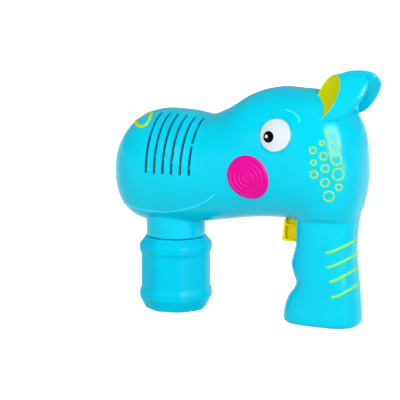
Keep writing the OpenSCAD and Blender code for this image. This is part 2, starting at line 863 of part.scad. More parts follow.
// Fan and motor
module fan() {
    color(WHITE) difference() {
        union() {
            rod_x(0, outlet_z, hub_r, fan_x - fan_len / 2 - 1, fan_x + fan_len / 2 + 1);
            intersection() {
                rod_x(0, outlet_z, fan_r, fan_x - fan_len / 2, fan_x + fan_len / 2);
                translate([fan_x, 0, outlet_z]) for (a = [0 : 60 : 300]) rotate([a, 0, 0])
                    rotate([0, 0, 40]) box([-9, -blade_t / 2, hub_r - 2], [9, blade_t / 2, fan_r + 2]);
            }
        }
        rod_x(0, outlet_z, shaft_r + push_gap, fan_x - fan_len, fan_x + fan_len);
    }
}

module can_form(grow, x0, x1) {
    intersection() {
        rod_x(0, outlet_z, motor_r + grow, x0, x1);
        box([x0 - 1, -FAR, outlet_z - motor_flat - grow], [x1 + 1, FAR, outlet_z + motor_flat + grow]);
    }
}

module motor_can() {
    color(STEEL) difference() {
        union() {
            can_form(0, motor_x, motor_x + motor_len);
            rod_x(0, outlet_z, 3, motor_x - 1.4, motor_x + 1);
        }
        rod_x(0, outlet_z, shaft_r + run_gap, motor_x - 5, motor_x + motor_len + 5);
    }
}

module motor_end_cap() {
    color(BLACK) difference() {
        union() {
            can_form(-0.4, motor_x + motor_len, motor_x + motor_len + cap_len);
            for (y = [-6, 4])
                box([motor_x + motor_len + 1, y, outlet_z],
                    [motor_x + motor_len + 1.6, y + 2, outlet_z + motor_flat + 4]);
        }
        rod_x(0, outlet_z, shaft_r + run_gap, motor_x, motor_x + motor_len + 10);
    }
}

module motor_shaft() {
    color(STEEL) rod_x(0, outlet_z, shaft_r, fan_x - fan_len / 2 - 1.6, pinion_x + pinion_len + 0.4);
}

wing_x = motor_x + 10;
wing_t = 3;
wing_reach = 33;
wing_low = outlet_z - 10;
wing_high = outlet_z - 2;
POSTS = [[-13.5, outlet_z + 5], [red_y + 10.6, outlet_z + 3], [red_y - 7.4, red_z - 16.6]];
post_rod = 2;

module plate_form() {
    polygon([[pump_y - 13, red_z - 11], [pump_y - 2, red_z - 18.8], [red_y - 3, red_z - 18.8],
        [red_y + 14, red_z - 6], [red_y + 14, outlet_z + 7], [pump_y - 13, outlet_z + 8]]);
}

module motor_bracket() {
    x1 = plate_x + plate_t;
    color(GREY) difference() {
        union() {
            rod_x(0, outlet_z, motor_r + 2.2, motor_x + 4, motor_x + 18);
            for (s = [LEFT, RIGHT]) {
                box_out(s, [wing_x, motor_r, wing_low], [wing_x + wing_t, wing_reach, wing_high]);
                box_out(s, [motor_x + 16, motor_r + 0.6, outlet_z - 4], [x1, motor_r + 2, outlet_z + 4]);
            }
            plate_yz(plate_x, plate_t) plate_form();
            for (p = POSTS) rod_x(p[0], p[1], post_rod, x1 - 1, plate2_x);
        }
        can_form(fit / 2, motor_x, motor_x + motor_len);
        rod_x(0, outlet_z, 3, plate_x - 1, x1 + 1);
        rod_x(red_y, red_z, axle_r + push_gap, plate_x - 1, x1 + 1);
        rod_x(pump_y, pump_z, axle_r + run_gap, plate_x - 1, x1 + 1);
    }
}

// Gears with stub involute teeth
function inv(a) = tan(a) - a * PI / 180;

function half_tooth(z, r) =
    let (rp = gear_module * z / 2, rb = rp * cos(pressure), s = PI * gear_module / 2 - backlash / 2)
    180 / PI * (s / (2 * rp) + inv(pressure) - inv(acos(min(1, rb / r))));

function polar(r, a) = [r * cos(a), r * sin(a)];

module gear_form(z) {
    rp = gear_module * z / 2;
    rb = rp * cos(pressure);
    ra = rp + stub * gear_module;
    rf = rp - root_depth * gear_module;
    r0 = max(rb, rf) + 0.01;
    rs = [for (i = [0 : 3]) r0 + (ra - r0) * i / 3];
    polygon([for (t = [0 : z - 1]) let (a = 360 * t / z) each concat(
        [polar(rf, a - half_tooth(z, r0) - 0.2)],
        [for (r = rs) polar(r, a - half_tooth(z, r))],
        [for (i = [3 : -1 : 0]) polar(rs[i], a + half_tooth(z, rs[i]))],
        [polar(rf, a + half_tooth(z, r0) + 0.2)])]);
}

module gear(x, y, z, h, teeth, turn) {
    translate([x, y, z]) rotate([90, 0, 90]) linear_extrude(h) rotate(turn) gear_form(teeth);
}

to_red = atan2(red_z - outlet_z, red_y);
to_pump = 180;

module motor_pinion() {
    color(BRASS) difference() {
        gear(pinion_x, 0, outlet_z, pinion_len, pinion_teeth, to_red);
        rod_x(0, outlet_z, shaft_r + push_gap, pinion_x - 1, pinion_x + pinion_len + 1);
    }
}

module reduction_gear() {
    color(WHITE) difference() {
        union() {
            gear(wheel_x, red_y, red_z, wheel_len, wheel_teeth, to_red + 180 + 180 / wheel_teeth);
            gear(wheel_x + wheel_len - 0.5, red_y, red_z, stage_gap + wheel_len + 1, pinion_teeth, to_pump);
        }
        rod_x(red_y, red_z, axle_r + run_gap, plate_x, plate2_x + 5);
    }
}

module reduction_axle() {
    color(STEEL) rod_x(red_y, red_z, axle_r, plate_x + 0.1, plate2_x + plate_t - 0.1);
}

module pump_gear() {
    color(WHITE) difference() {
        gear(pump_gear_x, pump_y, pump_z, wheel_len, wheel_teeth, to_pump + 180 + 180 / wheel_teeth);
        rod_x(pump_y, pump_z, axle_r + push_gap, plate_x, plate2_x + 5);
    }
}

module pump_axle() {
    color(STEEL) rod_x(pump_y, pump_z, axle_r, plate_x + 0.1, pump_x + pump_len - 1.8);
}

module pump_housing() {
    color(CLEAR) difference() {
        union() {
            plate_yz(plate2_x, plate_t) plate_form();
            rod_x(pump_y, pump_z, pump_r + pump_wall, plate2_x + plate_t - 0.5, pump_x + pump_len);
        }
        rod_x(pump_y, pump_z, pump_r, pump_x, pump_x + pump_len + 1);
        rod_x(pump_y, pump_z, axle_r + run_gap, plate2_x - 1, pump_x + 1);
        rod_x(red_y, red_z, axle_r + push_gap, plate2_x - 1, pump_x + 1);
        box([loop_x - tube_r - 0.6, pump_y - pump_r - 5, pump_z - pump_r],
            [pump_x + pump_len + 1, pump_y - 5, pump_z + pump_r + 0.4]);
    }
}

module pump_lid() {
    x0 = pump_x + pump_len + 0.1;
    color(CLEAR) rod_x(pump_y, pump_z, pump_r + pump_wall, x0, x0 + lid_t);
}

module pump_rotor() {
    x0 = pump_x + 1;
    x1 = pump_x + pump_len - 1.4;
    color(WHITE) difference() {
        union() {
            rod_x(pump_y, pump_z, 4, x0, x1);
            for (x = [x0, x1 - 1.6]) rod_x(pump_y, pump_z, roller_at + 1, x, x + 1.6);
            for (a = [30, 150, 270])
                rod_x(pump_y + roller_at * cos(a), pump_z + roller_at * sin(a), roller_r, x0 + 1, x1 - 1);
        }
        rod_x(pump_y, pump_z, axle_r + push_gap, x0 - 1, x1 + 1);
    }
}

function loop_at(a) = [loop_x, pump_y + loop_r * cos(a), pump_z + loop_r * sin(a)];

module pump_tube() {
    suction = way([[dip_at, 0, dip_high + 0.2], [dip_at, 0, dip_high + 2.2], [dip_at + 4, -3, dip_high + 5],
        [plate_x - 8, -18, tube_run], [plate_x, -25, tube_run], [plate2_x, -25, red_z - 5],
        [loop_x, -22, red_z - 4]], 4);
    loop = [for (a = [tube_in : 15 : tube_out]) loop_at(a)];
    delivery = way([loop_at(tube_out), [loop_x, pump_y - 13, outlet_z - 2], [loop_x - 3, -26, outlet_z + 2],
        [plate_x, -28.5, outlet_z + 9], [motor_x + 6, -28.5, outlet_z + 14],
        [duct_end - 4, -27, outlet_z + 17], [duct_x + 8, nozzle_y - 2, nozzle_z],
        [duct_x + 3, nozzle_y, nozzle_z], [flange_x - 1, nozzle_y, nozzle_z]], 4);
    color(CLEAR) rope(concat(suction, loop, [for (i = [1 : len(delivery) - 1]) delivery[i]]), tube_r);
}

// Bottle and its socket
module bottle_socket() {
    color(CLEAR) difference() {
        union() {
            rod_z(bottle_x, 0, socket_r, socket_low, socket_high);
            rod_z(bottle_x, 0, lock_r, lock_z, lock_z + lock_t);
        }
        rod_z(bottle_x, 0, socket_bore, socket_low - 1, socket_plate);
        rod_z(dip_at, 0, dip_r + push_gap, 0, socket_high + 1);
        rod_z(drain_at, 0, drain_r + fit, 0, socket_high + 1);
    }
    color(CLEAR) translate([bottle_x, 0, 0]) rotate(socket_start)
        ridge(socket_bore, neck_r + thread_gap, 1.9, 1.1, thread_pitch, thread_turns,
            thread_low - thread_pitch / 2 + thread_pitch * socket_start / 360);
}

bottle_sides = 32;
bottle_turn = 12.5;
corner_power = 16;

function flat_r(a) = let (s = [for (k = [0 : 7]) pow(max(0, cos(a - 45 * k)), corner_power)])
    1 / pow(s * [1, 1, 1, 1, 1, 1, 1, 1], 1 / corner_power);

bulge_flat = bottle_flat + bottle_bulge;
BOTTLE = [[0, bottle_foot - 0.6], [0.6, bottle_foot], [9.2, bulge_flat], [13.9, bulge_flat],
    [17.5, bottle_flat], [bottle_h - 14, bottle_flat], [bottle_h - 10.8, bulge_flat],
    [bottle_h - 6, bulge_flat], [bottle_h, bottle_flat - 3.3]];

module bottle_form() {
    rings = [for (q = BOTTLE) [for (j = [0 : bottle_sides - 1]) let (a = -360 * j / bottle_sides)
        [q[1] * flat_r(a) * cos(a + bottle_turn), q[1] * flat_r(a) * sin(a + bottle_turn), q[0]]]];
    loft(rings, [0, 0, 0], [0, 0, bottle_h]);
}

module bottle() {
    $fn = 96;
    inner = bottle_flat - bottle_wall - 0.6;
    color(CYAN) translate([bottle_x, 0, 0]) {
        difference() {
            union() {
                bottle_form();
                rod_z(0, 0, neck_r, bottle_h - 1, bottle_h + neck_h);
            }
            rotate_extrude() polygon([[0, bottle_wall], [bottle_foot - bottle_wall - 1, bottle_wall],
                [inner, 9.5], [inner, bottle_h - 5.5], [bore_r + 2.5, bottle_h - bottle_wall - 0.6],
                [bore_r, bottle_h + 1], [bore_r, bottle_h + neck_h + 1], [0, bottle_h + neck_h + 1]]);
        }
        ridge(neck_r, neck_r + thread_depth, 1.9, 1.1, thread_pitch, thread_turns, thread_low);
    }
}

module bottle_seal() {
    z0 = bottle_h + neck_h + 0.1;
    color(GREY) difference() {
        rod_z(bottle_x, 0, neck_r - 0.3, z0, z0 + seal_t);
        rod_z(bottle_x, 0, bore_r, z0 - 1, z0 + seal_t + 1);
    }
}

module dip_tube() {
    color(CLEAR) difference() {
        rod_z(dip_at, 0, dip_r, bottle_wall + 2, dip_high);
        rod_z(dip_at, 0, dip_r - 0.9, 0, dip_high + 1);
    }
}

// Trigger, its spring and the switch
module trigger() {
    color(YELLOW) difference() {
        union() {
            plate_xz(trigger_half) polygon([[trigger_face + 0.6, trigger_high],
                [trigger_face - 0.8, trigger_low + 6], [trigger_face - 1.6, trigger_low + 1.2],
                [trigger_face - 0.6, trigger_low], [grip_front + 1, trigger_low], [grip_front + 1, bar_low],
                [stop_x + 0.2, bar_low], [stop_x + 0.2, trigger_high]]);
            box([stop_x, -stop_half, bar_low], [stop_x + 2, stop_half, bar_high]);
            box([stop_x, -4, bar_low], [bar_end, 4, bar_high]);
        }
        for (s = [LEFT, RIGHT]) {
            box_out(s, [trigger_face + 2.2, trigger_half - 3, trigger_low + 13.4],
                [grip_front + 3, trigger_half + 1, trigger_high + 1]);
            box_out(s, [trigger_face + 1, trigger_half - 3, trigger_low + 1.6],
                [grip_front + 3, trigger_half + 1, trigger_low + 12.1]);
        }
        rod_x(0, bar_z, plunger_r + push_gap, bar_end - 3, bar_end + 1);
    }
}

module trigger_spring() {
    n = round(spring_turns * 12);
    color(STEEL) rope([for (i = [0 : n]) let (a = 30 * i)
        [bar_end + 0.6 + (spring_len - 1.2) * i / n, spring_r * cos(a), bar_z + spring_r * sin(a)]],
        spring_wire, 6);
}

module switch_body() {
    color(BLACK) difference() {
        box([switch_x, -6, switch_low], [switch_x + switch_len, 6, bar_z + switch_half]);
        rod_x(0, bar_z, plunger_r + run_gap, switch_x - 1, switch_x + switch_len - 2);
    }
}

module switch_plunger() {
    color(WHITE) rod_x(0, bar_z, plunger_r, bar_end - 2.8, switch_x + 3);
}

// Batteries
module pack_form(grow) {
    translate([pack_x, 0]) offset(r = pack_round + grow) square(2 * cell_at, center = true);
}

module battery_tray() {
    color(BLACK) difference() {
        union() {
            difference() {
                translate([0, 0, pack_low]) linear_extrude(pack_high - pack_low) pack_form(pack_wall);
                translate([0, 0, pack_low + pack_wall])
                    linear_extrude(pack_high - pack_low - 2 * pack_wall) pack_form(0);
                box([0, cell_at - 0.5, pack_low - 1], [FAR, FAR, pack_high + 1]);
            }
            box([pack_x - block_half, cell_at - 3, pack_high - pack_wall],
                [pack_x + block_half, 13, pack_high + 0.9]);
            box([pack_x - block_half, block_y, pack_high - pack_wall],
                [pack_x + block_half, 13, door_screw_z + 3]);
        }
        rod_y(pack_x, door_screw_z, screw_r + run_gap, 0, 20);
    }
}

module battery_cells() {
    color(GREY) for (i = [-1, 1], j = [-1, 1]) translate([pack_x + i * cell_at, j * cell_at, cell_low]) {
        up = i * j > 0;
        rod_z(0, 0, cell_r, up ? 0 : 1.2, up ? cell_len - 1.2 : cell_len);
        rod_z(0, 0, 2.6, up ? cell_len - 1.4 : 0, up ? cell_len : 1.4);
    }
}

module contact_springs() {
    n = 20;
    color(STEEL) for (i = [-1, 1], j = [-1, 1]) {
        up = i * j > 0;
        z0 = up ? pack_low + pack_wall + 0.85 : cell_low + cell_len + 0.4;
        r = [for (k = [0 : n]) 4.6 - 2 * (up ? k : n - k) / n];
        translate([pack_x + i * cell_at, j * cell_at, z0])
            rope([for (k = [0 : n]) [r[k] * cos(40 * k), r[k] * sin(40 * k), k / n]], 0.25, 4);
    }
}

module contact_plates() {
    low = pack_low + pack_wall;
    high = pack_high - pack_wall - plate_thin;
    color(STEEL) translate([pack_x, 0, 0]) {
        for (j = [-1, 1]) {
            box([-cell_at - 5, j * cell_at - 5, low], [cell_at + 5, j * cell_at + 5, low + plate_thin]);
            box([-cell_at - 5, j * cell_at - 5, high], [-cell_at + 5, j * cell_at + 5, high + plate_thin]);
        }
        box([cell_at - 5, -cell_at - 5, high], [cell_at + 5, cell_at + 5, high + plate_thin]);
    }
}

module door_cut() {
    difference() {
        box([door_x0, 6, door_z0], [door_x1, 60, door_z1]);
        grip(-door_t - fit);
    }
    box([door_x0 + door_ledge, cell_at, door_z0 + door_ledge], [door_x1 - door_ledge, 60, pack_high]);
    rod_y(pack_x, door_screw_z, screw_r + fit, 5, 60);
}

module battery_door() {
    color(CYAN) difference() {
        intersection() {
            grip(0);
            box([door_x0 + slide_gap, 6, door_z0 + slide_gap], [door_x1 - slide_gap, 60, door_z1 - slide_gap]);
        }
        grip(-door_t);
        rod_y(pack_x, door_screw_z, screw_r + fit, 0, 60);
        rod_y(pack_x, door_screw_z, screw_head_r + fit, door_seat_y, 60);
    }
}

module battery_door_screw() {
    color(STEEL) screw(pack_x, door_screw_z, door_screw_tip, door_seat_y);
}

module screw(x, z, tip, seat) {
    top = seat + screw_head_h;
    difference() {
        union() {
            rod_y(x, z, screw_r, tip, seat + 0.5, $fn = 24);
            rod_y(x, z, screw_head_r, seat + 0.05, top, $fn = 32);
        }
        box([x - 1.8, top - 0.8, z - 0.3], [x + 1.8, top + 1, z + 0.3]);
        box([x - 0.3, top - 0.8, z - 1.8], [x + 0.3, top + 1, z + 1.8]);
    }
}

module shell_screws() {
    color(STEEL) for (s = SCREWS) screw(s[0], s[1], screw_tip_y, seat_y);
}

// Wires: cells to switch, switch to motor, motor back to cells
wire_r = 0.7;
lug_z = outlet_z + motor_flat + 2.5;
lug_x = motor_x + motor_len + 1.9;
switch_end = switch_x + switch_len;

module wire_red() {
    color(RED) rope(way([[pack_x - cell_at, -cell_at, pack_high + 0.9], [pack_x - cell_at + 2.5, -9, wire_run],
        [pack_x, -9.5, wire_run], [switch_end, -8, wire_run], [switch_end + 3.8, -5, wire_run + 2],
        [switch_end + 3.6, -1.8, bar_z - 2.4], [switch_end + 0.5, -1.8, bar_z - 2]], 4), wire_r, 6);
}

module wire_switch() {
    color(RED) rope(way([[switch_end + 0.5, 1.8, bar_z + 1.5], [switch_end + 3.4, 1.8, bar_z + 4],
        [switch_end, 0, bar_z + 8], [pack_x, -5, bar_z + 11], [switch_x - 8, -12, bar_z + 14],
        [saddle_x + 44, -14, outlet_z - 8], [plate2_x + 20, -8, outlet_z + 8], [lug_x, -5, lug_z]], 4),
        wire_r, 6);
}

module wire_black() {
    color(BLACK) rope(way([[pack_x - cell_at, cell_at + 0.6, pack_high + 0.55],
        [pack_x - cell_at - 1.2, 9, pack_high + 5], [switch_x - 6, 9, bar_z + 6], [switch_x - 12, 8, bar_z + 16],
        [saddle_x + 54, 2, outlet_z + 2], [plate2_x + 20, 6, outlet_z + 12], [lug_x, 5, lug_z]], 4),
        wire_r, 6);
}

left_shell();
right_shell();
ear_left();
ear_right();
ear_lining_left();
ear_lining_right();
eye_left();
eye_right();
pupil_left();
pupil_right();
cheek_left();
cheek_right();
outlet_ring();
bubble_ring();
drip_tray();
fan_duct();
fan();
motor_can();
motor_end_cap();
motor_shaft();
motor_bracket();
motor_pinion();
reduction_gear();
reduction_axle();
pump_gear();
pump_axle();
pump_housing();
pump_lid();
pump_rotor();
pump_tube();
bottle_socket();
bottle();
bottle_seal();
dip_tube();
trigger();
trigger_spring();
switch_body();
switch_plunger();
battery_tray();
battery_cells();
contact_springs();
contact_plates();
battery_door();
battery_door_screw();
shell_screws();
wire_red();
wire_switch();
wire_black();
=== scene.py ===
"""Looks of a battery bubble blower: moulded skins, face pieces, finishes, light and camera.

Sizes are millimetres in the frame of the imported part: the snout towards -X, the toy's left side
towards -Y. The studio is in metres.
"""

import json
import logging
import math
from collections.abc import Callable, Iterable, Iterator
from dataclasses import dataclass
from enum import Enum

import bmesh
import bpy
import numpy as np
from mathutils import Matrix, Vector


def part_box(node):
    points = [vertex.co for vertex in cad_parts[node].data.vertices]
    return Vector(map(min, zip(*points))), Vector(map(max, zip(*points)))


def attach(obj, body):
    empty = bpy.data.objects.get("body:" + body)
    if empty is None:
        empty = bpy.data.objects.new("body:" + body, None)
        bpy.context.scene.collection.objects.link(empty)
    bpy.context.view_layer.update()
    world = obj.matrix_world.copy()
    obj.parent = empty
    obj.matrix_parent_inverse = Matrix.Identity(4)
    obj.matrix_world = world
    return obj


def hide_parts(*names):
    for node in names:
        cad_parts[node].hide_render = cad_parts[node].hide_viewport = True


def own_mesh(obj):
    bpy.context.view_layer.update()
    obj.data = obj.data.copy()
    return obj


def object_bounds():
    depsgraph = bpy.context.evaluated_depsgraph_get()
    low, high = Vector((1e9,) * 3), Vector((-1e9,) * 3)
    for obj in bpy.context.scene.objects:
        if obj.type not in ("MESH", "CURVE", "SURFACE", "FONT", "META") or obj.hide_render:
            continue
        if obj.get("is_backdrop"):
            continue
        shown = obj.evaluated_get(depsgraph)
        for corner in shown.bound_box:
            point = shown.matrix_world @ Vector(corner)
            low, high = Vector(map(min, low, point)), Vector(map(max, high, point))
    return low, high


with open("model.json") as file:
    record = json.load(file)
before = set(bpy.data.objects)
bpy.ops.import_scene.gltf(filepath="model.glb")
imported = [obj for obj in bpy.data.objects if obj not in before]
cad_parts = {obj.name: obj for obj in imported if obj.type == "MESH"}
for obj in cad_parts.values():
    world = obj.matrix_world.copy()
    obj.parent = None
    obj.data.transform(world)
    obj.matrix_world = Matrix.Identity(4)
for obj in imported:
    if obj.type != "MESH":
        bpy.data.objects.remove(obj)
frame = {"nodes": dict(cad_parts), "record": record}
CAD_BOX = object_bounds()

MM = 0.001
FAR = 120.0
ROD_SIDES = 48
SETTLE_ROUNDS, SETTLE_REACH = 5, 1.5
CAST_ROUNDS = 32
LOG = logging.getLogger("bubble_blower")

Field = Callable[[np.ndarray], np.ndarray]
Solid = tuple[np.ndarray, list[list[int]]]
Spot = tuple[float, float]
Spots = tuple[Spot, ...]
Triple = tuple[float, float, float]


class Side(Enum):
    """Side of the toy, as the sign of its y."""

    LEFT = -1
    RIGHT = 1

    @property
    def word(self) -> str:
        """Name of the side as the parts' names spell it."""
        return self.name.lower()


class Carve(Enum):
    """What a cutter does to the piece that it meets."""

    TAKE = "DIFFERENCE"
    ADD = "UNION"
    KEEP = "INTERSECT"


class Slot(Enum):
    """Material slots of the part's record."""

    SHELL = "shell_cyan"
    BOTTLE = "bottle_cyan"
    LIME = "lime"
    YELLOW = "yellow"
    PINK = "pink"
    WHITE = "white"
    BLACK = "black"
    GREY = "grey"
    NATURAL = "natural"
    SOFT = "soft"
    STEEL = "steel"
    BRASS = "brass"
    RED_LEAD = "red_lead"
    BLACK_LEAD = "black_lead"


# Shapes


def hermite(knots: np.ndarray, column: int, at: np.ndarray) -> np.ndarray:
    """Smooth curve through knots.

    Args:
        knots: rows of position and values.
        column: column of the value.
        at: positions to read, held inside the knots.

    Returns:
        The values there.
    """
    place, value = knots[:, 0], knots[:, column]
    before = np.maximum(np.arange(len(knots)) - 1, 0)
    after = np.minimum(np.arange(len(knots)) + 1, len(knots) - 1)
    slope = (value[after] - value[before]) / (place[after] - place[before])
    at = np.clip(at, place[0], place[-1])
    i = np.clip(np.searchsorted(place, at, side="right") - 1, 0, len(knots) - 2)
    width = place[i + 1] - place[i]
    t = (at - place[i]) / width
    return (
        (1 + 2 * t) * (1 - t) ** 2 * value[i]
        + t * (1 - t) ** 2 * width * slope[i]
        + t * t * (3 - 2 * t) * value[i + 1]
        + t * t * (t - 1) * width * slope[i + 1]
    )


def spline(points: np.ndarray, count: int) -> np.ndarray:
    """Smooth path of count points through a few points.

    Args:
        points: the few points.
        count: how many points the path has.

    Returns:
        The path.
    """
    knots = np.column_stack([np.arange(len(points)), points])
    at = np.linspace(0, len(points) - 1, count)
    return np.column_stack([hermite(knots, k, at) for k in (1, 2, 3)])


def along(points: np.ndarray, at: np.ndarray) -> np.ndarray:
    """Points of a path at given lengths from its start.

    Args:
        points: points of the path.
        at: lengths from its start.

    Returns:
        The points there.
    """
    steps = np.linalg.norm(np.diff(points, axis=0), axis=1)
    length = np.concatenate([[0], np.cumsum(steps)])
    return np.column_stack([np.interp(at, length, points[:, k]) for k in range(3)])


def unit(vectors: np.ndarray) -> np.ndarray:
    """Vectors of length one."""
    return vectors / np.linalg.norm(vectors, axis=-1, keepdims=True)


def circle(count: int) -> np.ndarray:
    """Angles of even steps round a circle."""
    return np.arange(count) * 2 * np.pi / count


def gradient(field: Field, points: np.ndarray, step: float = 0.02) -> np.ndarray:
    """Slope of a field at points."""
    rises = [field(points + s) - field(points - s) for s in np.eye(3) * step]
    return np.column_stack([rise / (2 * step) for rise in rises])


def settle(field: Field, points: np.ndarray, level: float = 0.0) -> np.ndarray:
    """Points moved along the slope of a field until they lie at a level.

    Args:
        field: the field.
        points: where they start, near the level.
        level: value to reach.

    Returns:
        The moved points.
    """
    for _ in range(SETTLE_ROUNDS):
        slope = gradient(field, points)
        share = (field(points) - level) / (slope**2).sum(axis=1)
        points = points - slope * np.clip(share, -SETTLE_REACH, SETTLE_REACH)[:, None]
    return points


def cast(
    field: Field, start: np.ndarray, way: np.ndarray | Triple, level: float = 0.0
) -> np.ndarray:
    """Points where rays from inside a form reach its surface.

    Args:
        field: the form, negative inside.
        start: points inside.
        way: direction of each ray, or of all of them.
        level: value of the field at the surface.

    Returns:
        A point for each ray.
    """
    way = np.broadcast_to(way, start.shape)
    near, far = np.zeros(len(start)), np.full(len(start), FAR)
    for _ in range(CAST_ROUNDS):
        middle = (near + far) / 2
        outside = field(start + way * middle[:, None]) > level
        near, far = np.where(outside, near, middle), np.where(outside, middle, far)
    return start + way * far[:, None]


def loft(rings: Iterable[np.ndarray], closed: bool = False) -> Solid:
    """Skin over rings of equal length.

    Args:
        rings: the rings in order.
        closed: whether the last ring joins the first; otherwise both ends are capped.

    Returns:
        A closed solid.
    """
    rings = list(rings)
    count, sides = len(rings), len(rings[0])
    here = np.arange(sides)
    beside = (here + 1) % sides
    faces: list[list[int]] = []
    for i in range(count if closed else count - 1):
        a, b = i * sides, (i + 1) % count * sides
        faces += np.column_stack([a + here, a + beside, b + beside, b + here]).tolist()
    if not closed:
        faces += [here[::-1].tolist(), ((count - 1) * sides + here).tolist()]
    return np.vstack(rings), faces


def sweep(
    path: np.ndarray,
    normals: np.ndarray,
    outline: np.ndarray,
    size: np.ndarray | float = 1.0,
    closed: bool = False,
) -> Solid:
    """Outline carried along a path.

    Args:
        path: points of the path.
        normals: upward direction at each point.
        outline: points across and up, round the profile.
        size: scale of the outline, or its scale at each point.
        closed: whether the path is a ring.

    Returns:
        A closed solid.
    """
    if closed:
        ahead = np.roll(path, -1, axis=0) - np.roll(path, 1, axis=0)
    else:
        ahead = np.gradient(path, axis=0)
    across = unit(np.cross(normals, ahead))
    up = unit(np.cross(ahead, across))
    rings = [
        at + k * (np.outer(outline[:, 0], side) + np.outer(outline[:, 1], rise))
        for at, k, side, rise in zip(path, np.broadcast_to(size, len(path)), across, up)
    ]
    return loft(rings, closed)


def oval(half_width: float, half_height: float, count: int = 10) -> np.ndarray:
    """Outline of an oval."""
    turn = circle(count)
    return np.column_stack([half_width * np.cos(turn), half_height * np.sin(turn)])


def rod(axis: int, at: Spot, r: float, span: Spot, end_r: float = 0.0) -> Solid:
    """Round rod along an axis.

    Args:
        axis: 0, 1 or 2.
        at: place of its axis in the other two coordinates, in their order.
        r: radius.
        span: from and to along the axis.
        end_r: radius at the far end, where it differs.

    Returns:
        A closed solid.
    """
    turn = circle(ROD_SIDES)
    first, second = (k for k in range(3) if k != axis)
    rings = []
    for place, radius in zip(span, (r, end_r or r)):
        ring = np.full((ROD_SIDES, 3), float(place))
        ring[:, first] = at[0] + radius * np.cos(turn)
        ring[:, second] = at[1] + radius * np.sin(turn)
        rings.append(ring)
    return loft(rings)


def block(low: Iterable[float], high: Iterable[float]) -> Solid:
    """Box between two corners, which may come in any order.

    Args:
        low: one corner.
        high: the opposite corner.

    Returns:
        A closed solid.
    """
    ends = np.array([np.minimum(low, high), np.maximum(low, high)])
    corners = ((0, 0), (1, 0), (1, 1), (0, 1))
    return loft(np.array([[ends[i, 0], ends[j, 1], z] for i, j in corners]) for z in ends[:, 2])


def together(solids: Iterable[Solid]) -> Solid:
    """Several solids as one mesh.

    Args:
        solids: the solids.

    Returns:
        Their points and faces in one.
    """
    points: list[np.ndarray] = []
    faces: list[list[int]] = []
    start = 0
    for some, theirs in solids:
        faces += [[start + v for v in face] for face in theirs]
        points.append(some)
        start += len(some)
    return np.vstack(points), faces


def surface_net(values: np.ndarray) -> tuple[np.ndarray, np.ndarray]:
    """Skin where samples on a grid change sign.

    Args:
        values: samples, negative inside.

    Returns:
        Points in steps of the grid, and faces of four points.
    """
    cells_shape = np.array(values.shape) - 1
    inside = values < 0
    owners, spots, quads = [], [], []
    for axis in range(3):
        lower, upper = [slice(None)] * 3, [slice(None)] * 3
        lower[axis], upper[axis] = slice(None, -1), slice(1, None)
        lower, upper = tuple(lower), tuple(upper)
        index = np.argwhere(inside[lower] != inside[upper])
        a, b = values[lower][tuple(index.T)], values[upper][tuple(index.T)]
        spot = index.astype(float)
        spot[:, axis] += a / (a - b)
        u, v = (axis + 1) % 3, (axis + 2) % 3
        around = []
        for du, dv in ((0, 0), (-1, 0), (-1, -1), (0, -1)):
            cell = index.copy()
            cell[:, u] += du
            cell[:, v] += dv
            around.append(np.ravel_multi_index(cell.T, cells_shape))
        owners += around
        spots += [spot] * 4
        quad = np.column_stack(around)
        quads.append(np.where((a < 0)[:, None], quad, quad[:, ::-1]))
    cells, ids = np.unique(np.concatenate(owners), return_inverse=True)
    spots = np.vstack(spots)
    shares = np.bincount(ids)
    points = np.column_stack([np.bincount(ids, spots[:, k]) / shares for k in range(3)])
    return points, np.searchsorted(cells, np.vstack(quads))


def put(name: str, data: bpy.types.ID) -> bpy.types.Object:
    """New object in the scene.

    Args:
        name: name of the object.
        data: its mesh, camera or lamp.

    Returns:
        The object.
    """
    obj = bpy.data.objects.new(name, data)
    bpy.context.scene.collection.objects.link(obj)
    return obj


def add_object(name: str, solid: Solid) -> bpy.types.Object:
    """Mesh object of a solid, its faces turned outwards.

    Args:
        name: name of the object.
        solid: points in millimetres, and faces.

    Returns:
        The object.
    """
    points, faces = solid
    mesh = bpy.data.meshes.new(name)
    mesh.from_pydata((np.asarray(points) * MM).tolist(), [], faces)
    shape = bmesh.new()
    shape.from_mesh(mesh)
    bmesh.ops.recalc_face_normals(shape, faces=shape.faces)
    shape.to_mesh(mesh)
    shape.free()
    return put(name, mesh)


def apply_modifiers(obj: bpy.types.Object) -> None:
    """Makes the result of an object's modifiers its mesh.

    Args:
        obj: the object.
    """
    graph = bpy.context.evaluated_depsgraph_get()
    made = bpy.data.meshes.new_from_object(obj.evaluated_get(graph))
    old = obj.data
    obj.modifiers.clear()
    obj.data = made
    bpy.data.meshes.remove(old)


def carve(obj: bpy.types.Object, how: Carve, cutter: Solid | bpy.types.Object) -> None:
    """Cuts, joins or trims a piece.

    Args:
        obj: the piece.
        how: what happens where they meet.
        cutter: solid that is used up, or an object that stays.
    """
    keeps = isinstance(cutter, bpy.types.Object)
    tool = cutter if keeps else add_object("cutter", cutter)
    step = obj.modifiers.new("carve", "BOOLEAN")
    step.operation, step.object, step.solver = how.value, tool, "MANIFOLD"
    apply_modifiers(obj)
    if not keeps:
        drop(tool)


def drop(obj: bpy.types.Object) -> None:
    """Removes a helper object with its mesh.

    Args:
        obj: the helper.
    """
    mesh = obj.data
    bpy.data.objects.remove(obj)
    bpy.data.meshes.remove(mesh)


# Finishes


